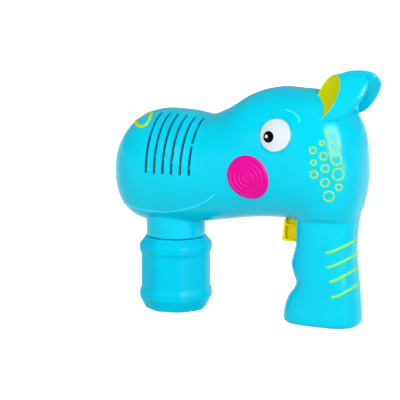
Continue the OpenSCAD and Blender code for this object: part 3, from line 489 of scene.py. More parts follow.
@dataclass(frozen=True)
class Finish:
    """Look of one moulded, drawn or extruded material.

    The colour is sRGB in 0 to 255, the scales count features in a metre.
    """

    name: str
    colour: tuple[int, int, int]
    roughness: float = 0.26
    metallic: float = 0.0
    specular: float = 0.10
    variation: float = 0.10
    tone_scale: float = 45.0
    grain_scale: float = 2200.0
    grain: float = 0.10
    stretch: float = 1.0

    @property
    def linear(self) -> tuple[float, float, float, float]:
        """Colour as light, with full alpha.

        Returns:
            Red, green, blue and alpha from 0 to 1.
        """
        shares = [c / 255 for c in self.colour]
        light = [s / 12.92 if s <= 0.04045 else ((s + 0.055) / 1.055) ** 2.4 for s in shares]
        return (*light, 1.0)


FINISHES: dict[Slot, Finish] = {
    Slot.SHELL: Finish("shell_cyan", (0, 209, 237), 0.14, specular=0.10),
    Slot.BOTTLE: Finish("bottle_cyan", (0, 202, 233), 0.34, specular=0.05, tone_scale=30.0),
    Slot.LIME: Finish("lining_lime", (208, 213, 4), 0.42, specular=0.05),
    Slot.YELLOW: Finish("trigger_yellow", (255, 228, 0), 0.40),
    Slot.PINK: Finish("cheek_pink", (232, 4, 154), 0.34),
    Slot.WHITE: Finish("eye_white", (216, 226, 232), 0.22, specular=0.20, variation=0.04),
    Slot.BLACK: Finish("pupil_black", (4, 4, 5), 0.14, specular=0.06, variation=0.25),
    Slot.GREY: Finish("bracket_grey", (112, 114, 118), 0.55),
    Slot.NATURAL: Finish("natural_moulding", (226, 232, 234), 0.40, variation=0.07),
    Slot.SOFT: Finish("soft_tube", (206, 216, 216), 0.48, variation=0.08),
    Slot.STEEL: Finish(
        "drawn_steel", (196, 198, 202), 0.30, 1.0, 0.5,
        variation=0.25, grain_scale=900.0, stretch=0.06,
    ),
    Slot.BRASS: Finish(
        "turned_brass", (214, 180, 104), 0.28, 1.0, 0.5, variation=0.25, grain_scale=1200.0,
    ),
    Slot.RED_LEAD: Finish("red_lead", (196, 22, 22), 0.45),
    Slot.BLACK_LEAD: Finish("black_lead", (22, 22, 24), 0.45, variation=0.3),
}
LINE_GREEN = Finish("line_green", (158, 236, 72), 0.40)
RING_LIME = Finish("ring_lime", (176, 224, 44), 0.40)
NOSTRIL_LIME = Finish("nostril_lime", (194, 222, 6), 0.40)
# Lighter cyan of the raised mouth line and brows: a painted highlight on shell plastic, standing in
# for the light that the ridges catch.
PAINTED_HIGHLIGHT_CYAN = Finish("painted_highlight_lip", (50, 236, 255), 0.30)


def preset(node: bpy.types.Node, values: dict[str, float | tuple[float, ...]]) -> None:
    """Sets sockets of a node by their names."""
    for socket, value in values.items():
        node.inputs[socket].default_value = value


def wire(
    tree: bpy.types.NodeTree, *pairs: tuple[bpy.types.NodeSocket, bpy.types.NodeSocket]
) -> None:
    """Links sockets of a node tree, each pair from and to."""
    for source, target in pairs:
        tree.links.new(source, target)


def new_material(name: str) -> tuple[bpy.types.Material, bpy.types.Node]:
    """New material, and its shader.

    Args:
        name: name of the material.

    Returns:
        The material and its Principled shader.
    """
    material = bpy.data.materials.new(name)
    material.use_nodes = True
    return material, next(n for n in material.node_tree.nodes if n.type == "BSDF_PRINCIPLED")


class FinishKit:
    """Shared shader groups, and the materials that are made from them."""

    tone_detail: float = 3.0
    darkest: float = 0.45
    gloss_spread: float = 0.22
    grain_detail: float = 2.0
    grain_height: float = 0.1

    def __init__(self) -> None:
        """Builds the groups once."""
        self.tone = self.tone_group()
        self.grain = self.grain_group()
        self.made: dict[str, bpy.types.Material] = {}

    @staticmethod
    def new_group(
        name: str, inputs: dict[str, str], outputs: dict[str, str]
    ) -> bpy.types.NodeTree:
        """Empty shader group with named sockets.

        Args:
            name: name of the group.
            inputs: socket types by name.
            outputs: socket types by name.

        Returns:
            The group, with its input and output nodes.
        """
        group = bpy.data.node_groups.new(name, "ShaderNodeTree")
        for in_out, sockets in (("INPUT", inputs), ("OUTPUT", outputs)):
            for socket, kind in sockets.items():
                kind = f"NodeSocket{kind}"
                group.interface.new_socket(socket, in_out=in_out, socket_type=kind)
        group.nodes.new("NodeGroupInput").name = "in"
        group.nodes.new("NodeGroupOutput").name = "out"
        return group

    def noise(self, group: bpy.types.NodeTree, stretched: bool, detail: float) -> bpy.types.Node:
        """Noise in the object's own space, scaled by the group's Scale.

        Args:
            group: group that gets the nodes.
            stretched: whether the group's Stretch draws it out along X.
            detail: finer layers of the noise.

        Returns:
            The noise node.
        """
        source = group.nodes["in"].outputs
        vector = group.nodes.new("ShaderNodeTexCoord").outputs["Object"]
        noise = group.nodes.new("ShaderNodeTexNoise")
        preset(noise, {"Detail": detail})
        if stretched:
            scale = group.nodes.new("ShaderNodeCombineXYZ")
            preset(scale, {"Y": 1.0, "Z": 1.0})
            drawn = group.nodes.new("ShaderNodeVectorMath")
            drawn.operation = "MULTIPLY"
            wire(
                group,
                (source["Stretch"], scale.inputs["X"]),
                (vector, drawn.inputs[0]),
                (scale.outputs[0], drawn.inputs[1]),
            )
            vector = drawn.outputs[0]
        wire(group, (vector, noise.inputs["Vector"]), (source["Scale"], noise.inputs["Scale"]))
        return noise

    def tone_group(self) -> bpy.types.NodeTree:
        """Slow change of tone and gloss over a moulding.

        Returns:
            The group.
        """
        floats = dict.fromkeys(("Variation", "Scale", "Roughness"), "Float")
        outputs = {"Colour": "Color", "Roughness": "Float"}
        group = self.new_group("moulded_tone", {"Colour": "Color", **floats}, outputs)
        source, out = group.nodes["in"].outputs, group.nodes["out"].inputs
        noise = self.noise(group, False, self.tone_detail)
        shade = group.nodes.new("ShaderNodeMapRange")
        preset(shade, {"From Min": 0.3, "From Max": 0.7, "To Min": self.darkest, "To Max": 1.0})
        tint = group.nodes.new("ShaderNodeMix")
        tint.data_type, tint.blend_type = "RGBA", "MULTIPLY"
        base, over = (s for s in tint.inputs if s.type == "RGBA")
        tinted = next(s for s in tint.outputs if s.type == "RGBA")
        spread, gloss = (group.nodes.new("ShaderNodeMath") for _ in range(2))
        spread.operation, gloss.operation = "MULTIPLY", "MULTIPLY_ADD"
        spread.inputs[1].default_value = self.gloss_spread
        wire(
            group,
            (noise.outputs[0], shade.inputs["Value"]),
            (source["Variation"], tint.inputs[0]),
            (source["Colour"], base),
            (shade.outputs[0], over),
            (tinted, out["Colour"]),
            (source["Roughness"], spread.inputs[0]),
            (noise.outputs[0], gloss.inputs[0]),
            (spread.outputs[0], gloss.inputs[1]),
            (source["Roughness"], gloss.inputs[2]),
            (gloss.outputs[0], out["Roughness"]),
        )
        return group

    def grain_group(self) -> bpy.types.NodeTree:
        """Fine grain of a moulded or drawn surface.

        Returns:
            The group.
        """
        inputs = {"Scale": "Float", "Stretch": "Float"}
        group = self.new_group("fine_grain", inputs, {"Height": "Float"})
        noise = self.noise(group, True, self.grain_detail)
        wire(group, (noise.outputs[0], group.nodes["out"].inputs["Height"]))
        return group

    def material(self, finish: Finish) -> bpy.types.Material:
        """Material of a finish, made once.

        Args:
            finish: the finish.

        Returns:
            Its material.
        """
        if finish.name in self.made:
            return self.made[finish.name]
        material, shader = new_material(finish.name)
        tree = material.node_tree
        preset(shader, {"Metallic": finish.metallic, "Specular IOR Level": finish.specular})
        tone, grain = (tree.nodes.new("ShaderNodeGroup") for _ in range(2))
        tone.node_tree, grain.node_tree = self.tone, self.grain
        preset(tone, {
            "Colour": finish.linear,
            "Variation": finish.variation,
            "Scale": finish.tone_scale,
            "Roughness": finish.roughness,
        })
        preset(grain, {"Scale": finish.grain_scale, "Stretch": finish.stretch})
        bump = tree.nodes.new("ShaderNodeBump")
        preset(bump, {"Strength": finish.grain, "Distance": self.grain_height * MM})
        wire(
            tree,
            (tone.outputs["Colour"], shader.inputs["Base Color"]),
            (tone.outputs["Roughness"], shader.inputs["Roughness"]),
            (grain.outputs["Height"], bump.inputs["Height"]),
            (bump.outputs["Normal"], shader.inputs["Normal"]),
        )
        material.diffuse_color = finish.linear
        self.made[finish.name] = material
        return material

    def dress(
        self,
        obj: bpy.types.Object,
        slot: Slot,
        body: str = "shell",
        nodes: Iterable[str] = (),
        finish: Finish | None = None,
        sharp: float = 35.0,
    ) -> bpy.types.Object:
        """Shades a new piece smooth, gives it its finish and the body that it rides on.

        Args:
            obj: the piece.
            slot: slot of the record.
            body: body of the part.
            nodes: solids that it stands for.
            finish: finish, where it isn't the slot's own.
            sharp: degrees above which an edge stays sharp.

        Returns:
            The piece.
        """
        obj.data.shade_smooth()
        obj.data.set_sharp_from_angle(angle=math.radians(sharp))
        obj.data.materials.clear()
        obj.data.materials.append(self.material(finish or FINISHES[slot]))
        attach(obj, body)
        if nodes:
            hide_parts(*nodes)
        return obj


# Body


@dataclass(frozen=True)
class BodyForm:
    """Outer form of snout, head, grip and bottle skirt, as fields that are negative inside."""

    snout_front: float = -106.5
    head_rear: float = 96.8
    front_cap: float = 39.0
    rear_cap: float = 47.3
    snout_top: float = 158.0
    snout_bottom: float = 69.0
    saddle_x: float = -27.0
    saddle_top: float = 155.8
    head_top: float = 179.0
    head_bottom: float = 79.6
    snout_half: float = 40.0
    saddle_half: float = 38.5
    head_half: float = 40.5
    section_power: float = 2.25
    front_power: float = 2.3
    wall: float = 2.4
    grip_front: float = 44.6
    grip_rear: float = 89.7
    finger_front: float = 40.9
    waist_front: float = 45.1
    toe_front: float = 34.5
    heel_rear: float = 94.6
    grip_half: float = 19.5
    grip_top: float = 146.0
    grip_power: float = 2.7
    base_edge: float = 4.0
    bottle_x: float = -60.0
    skirt_r: float = 23.2
    skirt_low: float = 58.5
    skirt_high: float = 77.0
    grip_fillet: float = 1.8
    skirt_fillet: float = 1.0
    skirt_spare: float = 12.0
    half_reach: float = 46.5

    @property
    def front_x(self) -> float:
        """Where the rounded front begins."""
        return self.snout_front + self.front_cap

    @property
    def rear_x(self) -> float:
        """Where the rounded rear begins."""
        return self.head_rear - self.rear_cap

    def stations(self) -> np.ndarray:
        """Top, underside and half width of the body along X.

        Returns:
            Rows of x, top, underside and half width.
        """
        s = self
        return np.array([
            (s.snout_front, s.snout_top - 6.5, s.snout_bottom - 3.5, s.snout_half - 0.5),
            (s.front_x, s.snout_top, s.snout_bottom, s.snout_half),
            (s.front_x + 20, s.snout_top - 0.4, s.snout_bottom + 1, s.snout_half),
            (s.saddle_x, s.saddle_top, s.snout_bottom + 3.2, s.saddle_half),
            (s.saddle_x + 16, s.saddle_top + 6.2, s.head_bottom - 4.6, s.saddle_half),
            (s.saddle_x + 35.5, s.head_top - 5.4, s.head_bottom - 1.6, s.head_half - 1),
            (s.saddle_x + 55, s.head_top, s.head_bottom, s.head_half),
            (s.rear_x, s.head_top - 0.3, s.head_bottom, s.head_half),
            (s.rear_x + 22, s.head_top - 0.5, s.head_bottom, s.head_half - 0.8),
            (s.head_rear, s.head_top - 0.5, s.head_bottom, s.head_half - 1.5),
        ])

    def grip_edges(self) -> tuple[np.ndarray, np.ndarray, np.ndarray]:
        """Front, rear and half thickness of the grip by height, spread into the head above it.

        Returns:
            Rows of height and value for each of the three.
        """
        f, r, t, w, g = (
            self.finger_front, self.grip_rear, self.toe_front, self.waist_front, self.grip_front
        )
        h, heel, top, c = self.grip_half, self.heel_rear, self.grip_top, self.head_bottom + 1.4
        front = [
            (0, t), (9, t + 0.6), (17, t + 2.6), (22, t + 5), (27, w - 1.9), (32, w), (37, w - 1.7),
            (46, f), (52, f + 1.3), (60, g - 0.3), (66, g), (80, g + 0.2), (118, g + 2),
            (top, g + 12),
        ]
        rear = [
            (0, heel), (10, heel - 0.1), (28, heel - 1.9), (46, heel - 3.9), (60, r), (74, r + 0.8),
            (c + 3, r + 1.8), (c + 5.4, r + 2.1), (c + 7, r + 2.9), (c + 9, r + 3.7),
            (c + 14, r + 4.8), (102, r + 6), (110, r + 6.8), (118, r + 7.1), (128, r + 6.4),
            (138, r + 4), (top, r - 1),
        ]
        half = [
            (0, h), (50, h + 0.1), (c - 3, h), (c, h + 0.3), (c + 2.5, h + 3), (c + 6, h + 5.4),
            (c + 11, h + 7.4), (100, h + 9), (110, h + 10), (120, h + 9.6), (130, h + 7.6),
            (138, h + 4), (top, h - 2),
        ]
        return np.array(front, float), np.array(rear, float), np.array(half, float)

    def head(self, p: np.ndarray) -> np.ndarray:
        """Field of snout and head: distance along the ray from the body's middle line.

        Args:
            p: points.

        Returns:
            The field there.
        """
        x, y, z = p[..., 0], p[..., 1], p[..., 2]
        stations = self.stations()
        top, low, half = (hermite(stations, k, x) for k in (1, 2, 3))
        middle, rise = (top + low) / 2, (top - low) / 2
        power = self.section_power
        section = (np.abs(y) / half) ** power + (np.abs(z - middle) / rise) ** power
        section = section ** (1 / power)
        front = np.maximum(0, (self.front_x - x) / self.front_cap)
        rear = np.maximum(0, (x - self.rear_x) / self.rear_cap)
        power = np.where(front > 0, self.front_power, self.section_power)
        share = (section**power + front**power + rear**power) ** (1 / power)
        beyond = x - np.clip(x, self.front_x, self.rear_x)
        reach = np.sqrt(beyond**2 + y**2 + (z - middle) ** 2)
        return reach * (1 - 1 / np.maximum(share, 1e-6))

    def grip(self, p: np.ndarray) -> np.ndarray:
        """Field of the grip, with its rounded base edge.

        Args:
            p: points.

        Returns:
            The field there.
        """
        x, y, z = p[..., 0], p[..., 1], p[..., 2]
        front, rear, half = (hermite(k, 1, z) for k in self.grip_edges())
        middle, power = (front + rear) / 2, self.grip_power
        section = (np.abs(x - middle) / ((rear - front) / 2)) ** power + (np.abs(y) / half) ** power
        reach = np.hypot(x - middle, y)
        side = reach * (1 - 1 / np.maximum(section ** (1 / power), 1e-6)) + self.base_edge
        base = self.base_edge - z
        corner = np.hypot(np.maximum(side, 0), np.maximum(base, 0))
        rounded = np.minimum(np.maximum(side, base), 0) + corner - self.base_edge
        return np.maximum(rounded, z - self.grip_top)

    def skirt(self, p: np.ndarray) -> np.ndarray:
        """Field of the round skirt over the bottle's neck, longer than it ends up.

        Args:
            p: points.

        Returns:
            The field there.
        """
        x, y, z, spare = p[..., 0], p[..., 1], p[..., 2], self.skirt_spare
        radial = np.hypot(x - self.bottle_x, y) - self.skirt_r
        ends = np.maximum(z - self.skirt_high - spare, self.skirt_low - spare - z)
        return np.maximum(radial, ends)

    @staticmethod
    def blend(a: np.ndarray, b: np.ndarray, fillet: float) -> np.ndarray:
        """Union of two fields with a soft inner corner."""
        near = np.maximum(fillet - np.abs(a - b), 0) / fillet
        return np.minimum(a, b) - near * near * fillet / 4

    def hollow(self, p: np.ndarray) -> np.ndarray:
        """Field of head and grip."""
        return self.blend(self.head(p), self.grip(p), self.grip_fillet)

    def outside(self, p: np.ndarray) -> np.ndarray:
        """Field of the whole body."""
        return self.blend(self.hollow(p), self.skirt(p), self.skirt_fillet)

    def skin(self, name: str, field: Field, level: float, step: float) -> bpy.types.Object:
        """Closed skin of a field at a level.

        Args:
            name: name of the object.
            field: one of the fields above.
            level: distance outwards from the surface.
            step: size of a face.

        Returns:
            The skin.
        """
        wide = self.half_reach
        low = np.array([self.snout_front - 2 * step, -wide, -3 * step])
        high = np.array([self.head_rear + 3 * step, wide, self.head_top + 3 * step])
        axes = [np.arange(a, b, step) for a, b in zip(low, high)]
        grid = np.stack(np.meshgrid(*axes, indexing="ij"), axis=-1)
        points, faces = surface_net(field(grid) - level)
        return add_object(name, (settle(field, low + step * points, level), faces.tolist()))

    def at_side(
        self, side: Side, x: np.ndarray, z: np.ndarray, level: float = 0.0
    ) -> np.ndarray:
        """Points of the body's side at given x and z."""
        start = np.column_stack([x, np.zeros(len(x)), z])
        return cast(self.outside, start, (0.0, side.value, 0.0), level)

    def normals(self, points: np.ndarray) -> np.ndarray:
        """Outward directions at points of the body's surface."""
        return unit(gradient(self.outside, points))

    def hoop(self, path: np.ndarray, half_width: float, height: float) -> Solid:
        """Closed line that follows a path on the body's surface."""
        return sweep(path, self.normals(path), oval(half_width, height), closed=True)


@dataclass(frozen=True)
class Vents:
    """Slanted slots in both sides of the snout; the last is bridged."""

    first_x: float = -66.0
    pitch: float = 7.15
    width: float = 2.2
    low: float = 112.0
    high: float = 179.0
    lean: float = 2.6
    inner_y: float = 13.0
    count: int = 6
    bridge: Spot = (134.0, 136.0)
    end_steps: int = 9

    def slit(self, side: Side, x: float, low: float, high: float, round_low: bool) -> Solid:
        """Cutter of one slot.

        Args:
            side: side of the toy.
            x: place of the slot at its nominal lower end.
            low: lower end.
            high: upper end.
            round_low: whether the lower end is round.

        Returns:
            The cutter.
        """
        half = self.width / 2
        slope = self.lean / (self.high - self.low)
        turn = np.linspace(math.pi, 2 * math.pi, self.end_steps if round_low else 2)
        foot = low + half + half * np.sin(turn) if round_low else np.full(2, low)
        z = np.concatenate([foot, [high, high]])
        edge = np.concatenate([half * np.cos(turn), [half, -half]])
        outline = np.column_stack([x + slope * (z - self.low) + edge, np.zeros(len(z)), z])
        return loft(outline + (0, side.value * y, 0) for y in (self.inner_y, FAR))

    def cutters(self, side: Side) -> Iterator[Solid]:
        """Cutters of all slots of a side.

        Args:
            side: side of the toy.

        Returns:
            The cutters, one by one.
        """
        for i in range(self.count):
            x = self.first_x + i * self.pitch
            if i < self.count - 1:
                yield self.slit(side, x, self.low, self.high, True)
            else:
                yield self.slit(side, x, self.low, self.bridge[0], True)
                yield self.slit(side, x, self.bridge[1], self.high, False)


@dataclass(frozen=True)
class Door:
    """Battery door in the right side of the grip."""

    x: Spot = (49.5, 84.2)
    y: Spot = (6.0, 60.0)
    z: Spot = (11.0, 72.3)
    thick: float = 1.8
    gap: float = 0.3
    seat_gap: float = 0.2
    ledge: float = 1.8
    inner_y: float = 7.3
    inner_top: float = 64.8
    screw_at: Spot = (68.0, 68.0)
    screw_r: float = 1.5
    head_r: float = 2.8
    head_y: float = 18.2
    face: float = 2.0

    def panel(self, gap: float) -> Solid:
        """Block through the grip's side with the door's outline, smaller by a gap."""
        (x0, x1), (y0, y1), (z0, z1) = self.x, self.y, self.z
        return block((x0 + gap, y0, z0 + gap), (x1 - gap, y1, z1 - gap))


@dataclass
class Shells:
    """The two halves of the body and the battery door."""

    form: BodyForm
    kit: FinishKit
    vents: Vents = Vents()
    door: Door = Door()
    seam: float = 0.16
    room: tuple[float, ...] = (-150.0, 150.0, -10.0, 260.0)
    face: float = 1.5
    inner_face: float = 2.6
    outlet_z: float = 108.0
    outlet_bore: float = 22.9
    outlet_depth: float = -93.7
    bottle_bore: float = 21.0
    gate: tuple[float, ...] = (32.6, 49.6, 7.8, 61.9, 79.6)
    rib: float = 1.9
    collar_ribs: Triple = (-94.4, -90.1, -85.8)
    collar_rise: float = 34.0
    drain: Spot = (11.0, -22.0)
    tube_way: tuple[float, ...] = (-19.5, -14.5, 16.5, 59.0)
    wing_ribs: Spot = (-54.9, -49.6)
    wing: Triple = (28.0, 96.0, 105.0)
    wing_floor: float = 1.8
    vent_pad: tuple[float, ...] = (-71.0, -46.0, 25.0, 114.0, 150.0)
    switch_ribs: Spot = (63.0, 81.3)
    switch_inner: float = 4.0
    switch_low: float = 68.15
    switch_high: float = 76.15
    seat_depth: float = 1.3
    seat_from: float = 10.0
    seat_to: float = 60.0
    eye: Triple = (40.5, 147.1, 12.0)
    lid_r: float = 13.5
    lid_groove: float = 0.5
    lid_steps: int = 96
    cheek: Triple = (18.7, 114.2, 17.0)
    peg_r: float = 3.1
    ear_peg: Spot = (81.4, 18.0)
    post_r: float = 3.4
    post_end: float = 45.0
    post_taper: float = 0.6
    well_r: float = 4.4
    screw_r: float = 1.5
    screw_head_r: float = 2.8
    screw_seat: float = 8.0

    def screws(self) -> list[Spot]:
        """Places of the screws that hold the halves, as x and z.

        Returns:
            The places.
        """
        f, front = self.form, self.form.front_x
        return [
            (front - 16.5, 136.5), (front - 17.5, 77.5), (f.saddle_x + 12, 138.0),
            (f.saddle_x + 28, 87.0), (self.eye[0] - 23, self.eye[1] + 9), (f.head_rear - 21, 140.0),
            (f.head_rear - 23, 104.0), (f.toe_front + 9.5, 9.0),
        ]

    def collar(self) -> bpy.types.Object:
        """Ribs that hold the outlet ring, with gaps for the drip tray and the soft tube.

        Returns:
            The ribs.
        """
        z, reach = self.outlet_z, (self.collar_ribs[0] - 1, self.collar_ribs[-1] + 3)
        ribs = add_object("collar_ribs", together(
            rod(0, (0, z), self.outlet_bore + self.collar_rise, (x, x + self.rib))
            for x in self.collar_ribs
        ))
        half, top = self.drain
        y0, y1, low, high = self.tube_way
        for gap in (
            rod(0, (0, z), self.outlet_bore, reach),
            block((reach[0], -half, 0), (reach[1], half, z + top)),
            block((reach[0], y0, z + low), (reach[1], y1, z + high)),
        ):
            carve(ribs, Carve.TAKE, gap)
        return ribs

    def fixings(self, side: Side) -> bpy.types.Object:
        """Posts, screw wells, ribs and vent pad inside one half, before they are trimmed.

        Args:
            side: side of the toy.

        Returns:
            All of them as one helper.
        """
        s, rib = side.value, self.rib
        inner, low, high = self.wing
        first, last = self.wing_ribs
        r = self.well_r if side is Side.RIGHT else self.post_r
        end_r = r + self.post_taper
        solids = [rod(1, at, r, (0, s * self.post_end), end_r) for at in self.screws()]
        solids += [
            block((x, s * inner, low), (x + rib, s * FAR, high)) for x in self.wing_ribs
        ]
        solids.append(
            block((first, s * inner, low - rib), (last + rib, s * FAR, low + self.wing_floor))
        )
        solids += [
            block((x, s * self.switch_inner, self.switch_low), (x + rib, s * FAR, self.switch_high))
            for x in self.switch_ribs
        ]
        inside, ribs = add_object("fixings", together(solids)), self.collar()
        carve(inside, Carve.ADD, ribs)
        drop(ribs)
        if side is Side.RIGHT:
            x0, x1, y0, z0, z1 = self.vent_pad
            carve(inside, Carve.ADD, block((x0, y0, z0), (x1, FAR, z1)))
        return inside

    def lid_crease(self, side: Side) -> Solid:
        """Fine groove round the eye.

        Args:
            side: side of the toy.

        Returns:
            The cutter.
        """
        turn, (x, z, _) = circle(self.lid_steps), self.eye
        path = self.form.at_side(
            side, x + self.lid_r * np.cos(turn), z + self.lid_r * np.sin(turn)
        )
        return self.form.hoop(path, self.lid_groove, self.lid_groove)

    def cutters(self, side: Side) -> Iterator[Solid]:
        """Plain openings of one half that don't meet each other.

        Args:
            side: side of the toy.

        Returns:
            The cutters, one by one.
        """
        s, f = side.value, self.form
        peg_x, peg_y = self.ear_peg
        yield from self.vents.cutters(side)
        yield rod(0, (0, self.outlet_z), self.outlet_bore, (f.snout_front - 9, self.outlet_depth))
        yield rod(2, (f.bottle_x, 0), self.bottle_bore, (f.skirt_low - 1, f.skirt_high))
        yield rod(2, (peg_x, s * peg_y), self.peg_r, (f.head_top - 35, f.head_top + 5))
        x0, x1, half, low, high = self.gate
        yield block((x0, -half, low), (x1, half, high))
        if side is Side.RIGHT:
            for at in self.screws():
                yield rod(1, at, self.screw_head_r, (self.screw_seat, FAR))
        for x, z, _ in (self.eye, self.cheek):
            yield rod(1, (x, z), self.peg_r, (s * self.seat_from, s * FAR))

    def seats(self, side: Side, floor: bpy.types.Object) -> bpy.types.Object:
        """Cutter of the shallow seats of eye and cheek.

        Args:
            side: side of the toy.
            floor: skin on which the seats end.

        Returns:
            The cutter.
        """
        span = (side.value * self.seat_from, side.value * self.seat_to)
        seats = add_object("seats", together(
            rod(1, (x, z), r, span) for x, z, r in (self.eye, self.cheek)
        ))
        carve(seats, Carve.TAKE, floor)
        return seats

    def cut_door(self, half: bpy.types.Object) -> None:
        """Cuts the door's opening, its ledge and its screw hole into the right half.

        Args:
            half: the right half.
        """
        d, ledge, far = self.door, self.door.ledge, self.door.y[1]
        (x0, x1), z0 = d.x, d.z[0]
        pocket = add_object("door_pocket", d.panel(0.0))
        floor = self.form.skin("door_floor", self.form.grip, -d.thick - d.seat_gap, d.face)
        carve(pocket, Carve.TAKE, floor)
        opening = block((x0 + ledge, d.inner_y, z0 + ledge), (x1 - ledge, far, d.inner_top))
        for cutter in (pocket, opening, rod(1, d.screw_at, d.screw_r, (d.y[0] - 1, far))):
            carve(half, Carve.TAKE, cutter)
        drop(pocket)
        drop(floor)

    def make_door(self, outer: bpy.types.Object) -> bpy.types.Object:
        """Battery door, a piece of the grip's own skin.

        Args:
            outer: skin of the whole body.

        Returns:
            The door.
        """
        d = self.door
        door = add_object("battery_door_skin", d.panel(d.gap))
        back = self.form.skin("door_back", self.form.grip, -d.thick, d.face)
        carve(door, Carve.KEEP, outer)
        shank = rod(1, d.screw_at, d.screw_r, (0, d.head_y))
        head = rod(1, d.screw_at, d.head_r, (d.head_y, d.y[1]))
        for cutter in (back, shank, head):
            carve(door, Carve.TAKE, cutter)
        drop(back)
        return self.kit.dress(door, Slot.SHELL, "door_unit", ["battery_door"])

    def make_half(
        self, side: Side, hollow: bpy.types.Object, helpers: dict[str, bpy.types.Object]
    ) -> bpy.types.Object:
        """One half of the body.

        Args:
            side: side of the toy.
            hollow: skin of the body with its inside taken out.
            helpers: skins that trim the fixings and floor the seats.

        Returns:
            The finished half.
        """
        s = side.value
        half = put(f"{side.word}_shell_skin", hollow.data.copy())
        inside = self.fixings(side)
        carve(inside, Carve.KEEP, helpers["trim"])
        carve(half, Carve.ADD, inside)
        drop(inside)
        x0, x1, low, high = self.room
        carve(half, Carve.KEEP, block((x0, s * self.seam / 2, low), (x1, s * FAR, high)))
        carve(half, Carve.TAKE, together(self.cutters(side)))
        seats = self.seats(side, helpers["floor"])
        carve(half, Carve.TAKE, seats)
        drop(seats)
        carve(half, Carve.TAKE, self.lid_crease(side))
        if side is Side.RIGHT:
            span = (-1, self.screw_seat + 1)
            shanks = (rod(1, at, self.screw_r, span) for at in self.screws())
            carve(half, Carve.TAKE, together(shanks))
            self.cut_door(half)
        return self.kit.dress(half, Slot.SHELL, "shell", [f"{side.word}_shell"])

    def build(self) -> Iterator[bpy.types.Object]:
        """Both halves and the door.

        Returns:
            The pieces, one by one.
        """
        f = self.form
        outer = f.skin("outer", f.outside, 0.0, self.face)
        below = rod(2, (f.bottle_x, 0), f.skirt_r + 8, (f.skirt_low - 30, f.skirt_low))
        carve(outer, Carve.TAKE, below)
        yield self.make_door(outer)
        inner = f.skin("inner", f.hollow, -f.wall, self.inner_face)
        carve(outer, Carve.TAKE, inner)
        helpers = {
            "trim": f.skin("trim", f.hollow, -f.wall / 4, self.inner_face),
            "floor": f.skin("floor", f.hollow, -self.seat_depth, self.inner_face),
        }
        for side in Side:
            yield self.make_half(side, outer, helpers)
        for helper in (outer, inner, *helpers.values()):
            drop(helper)


# Face


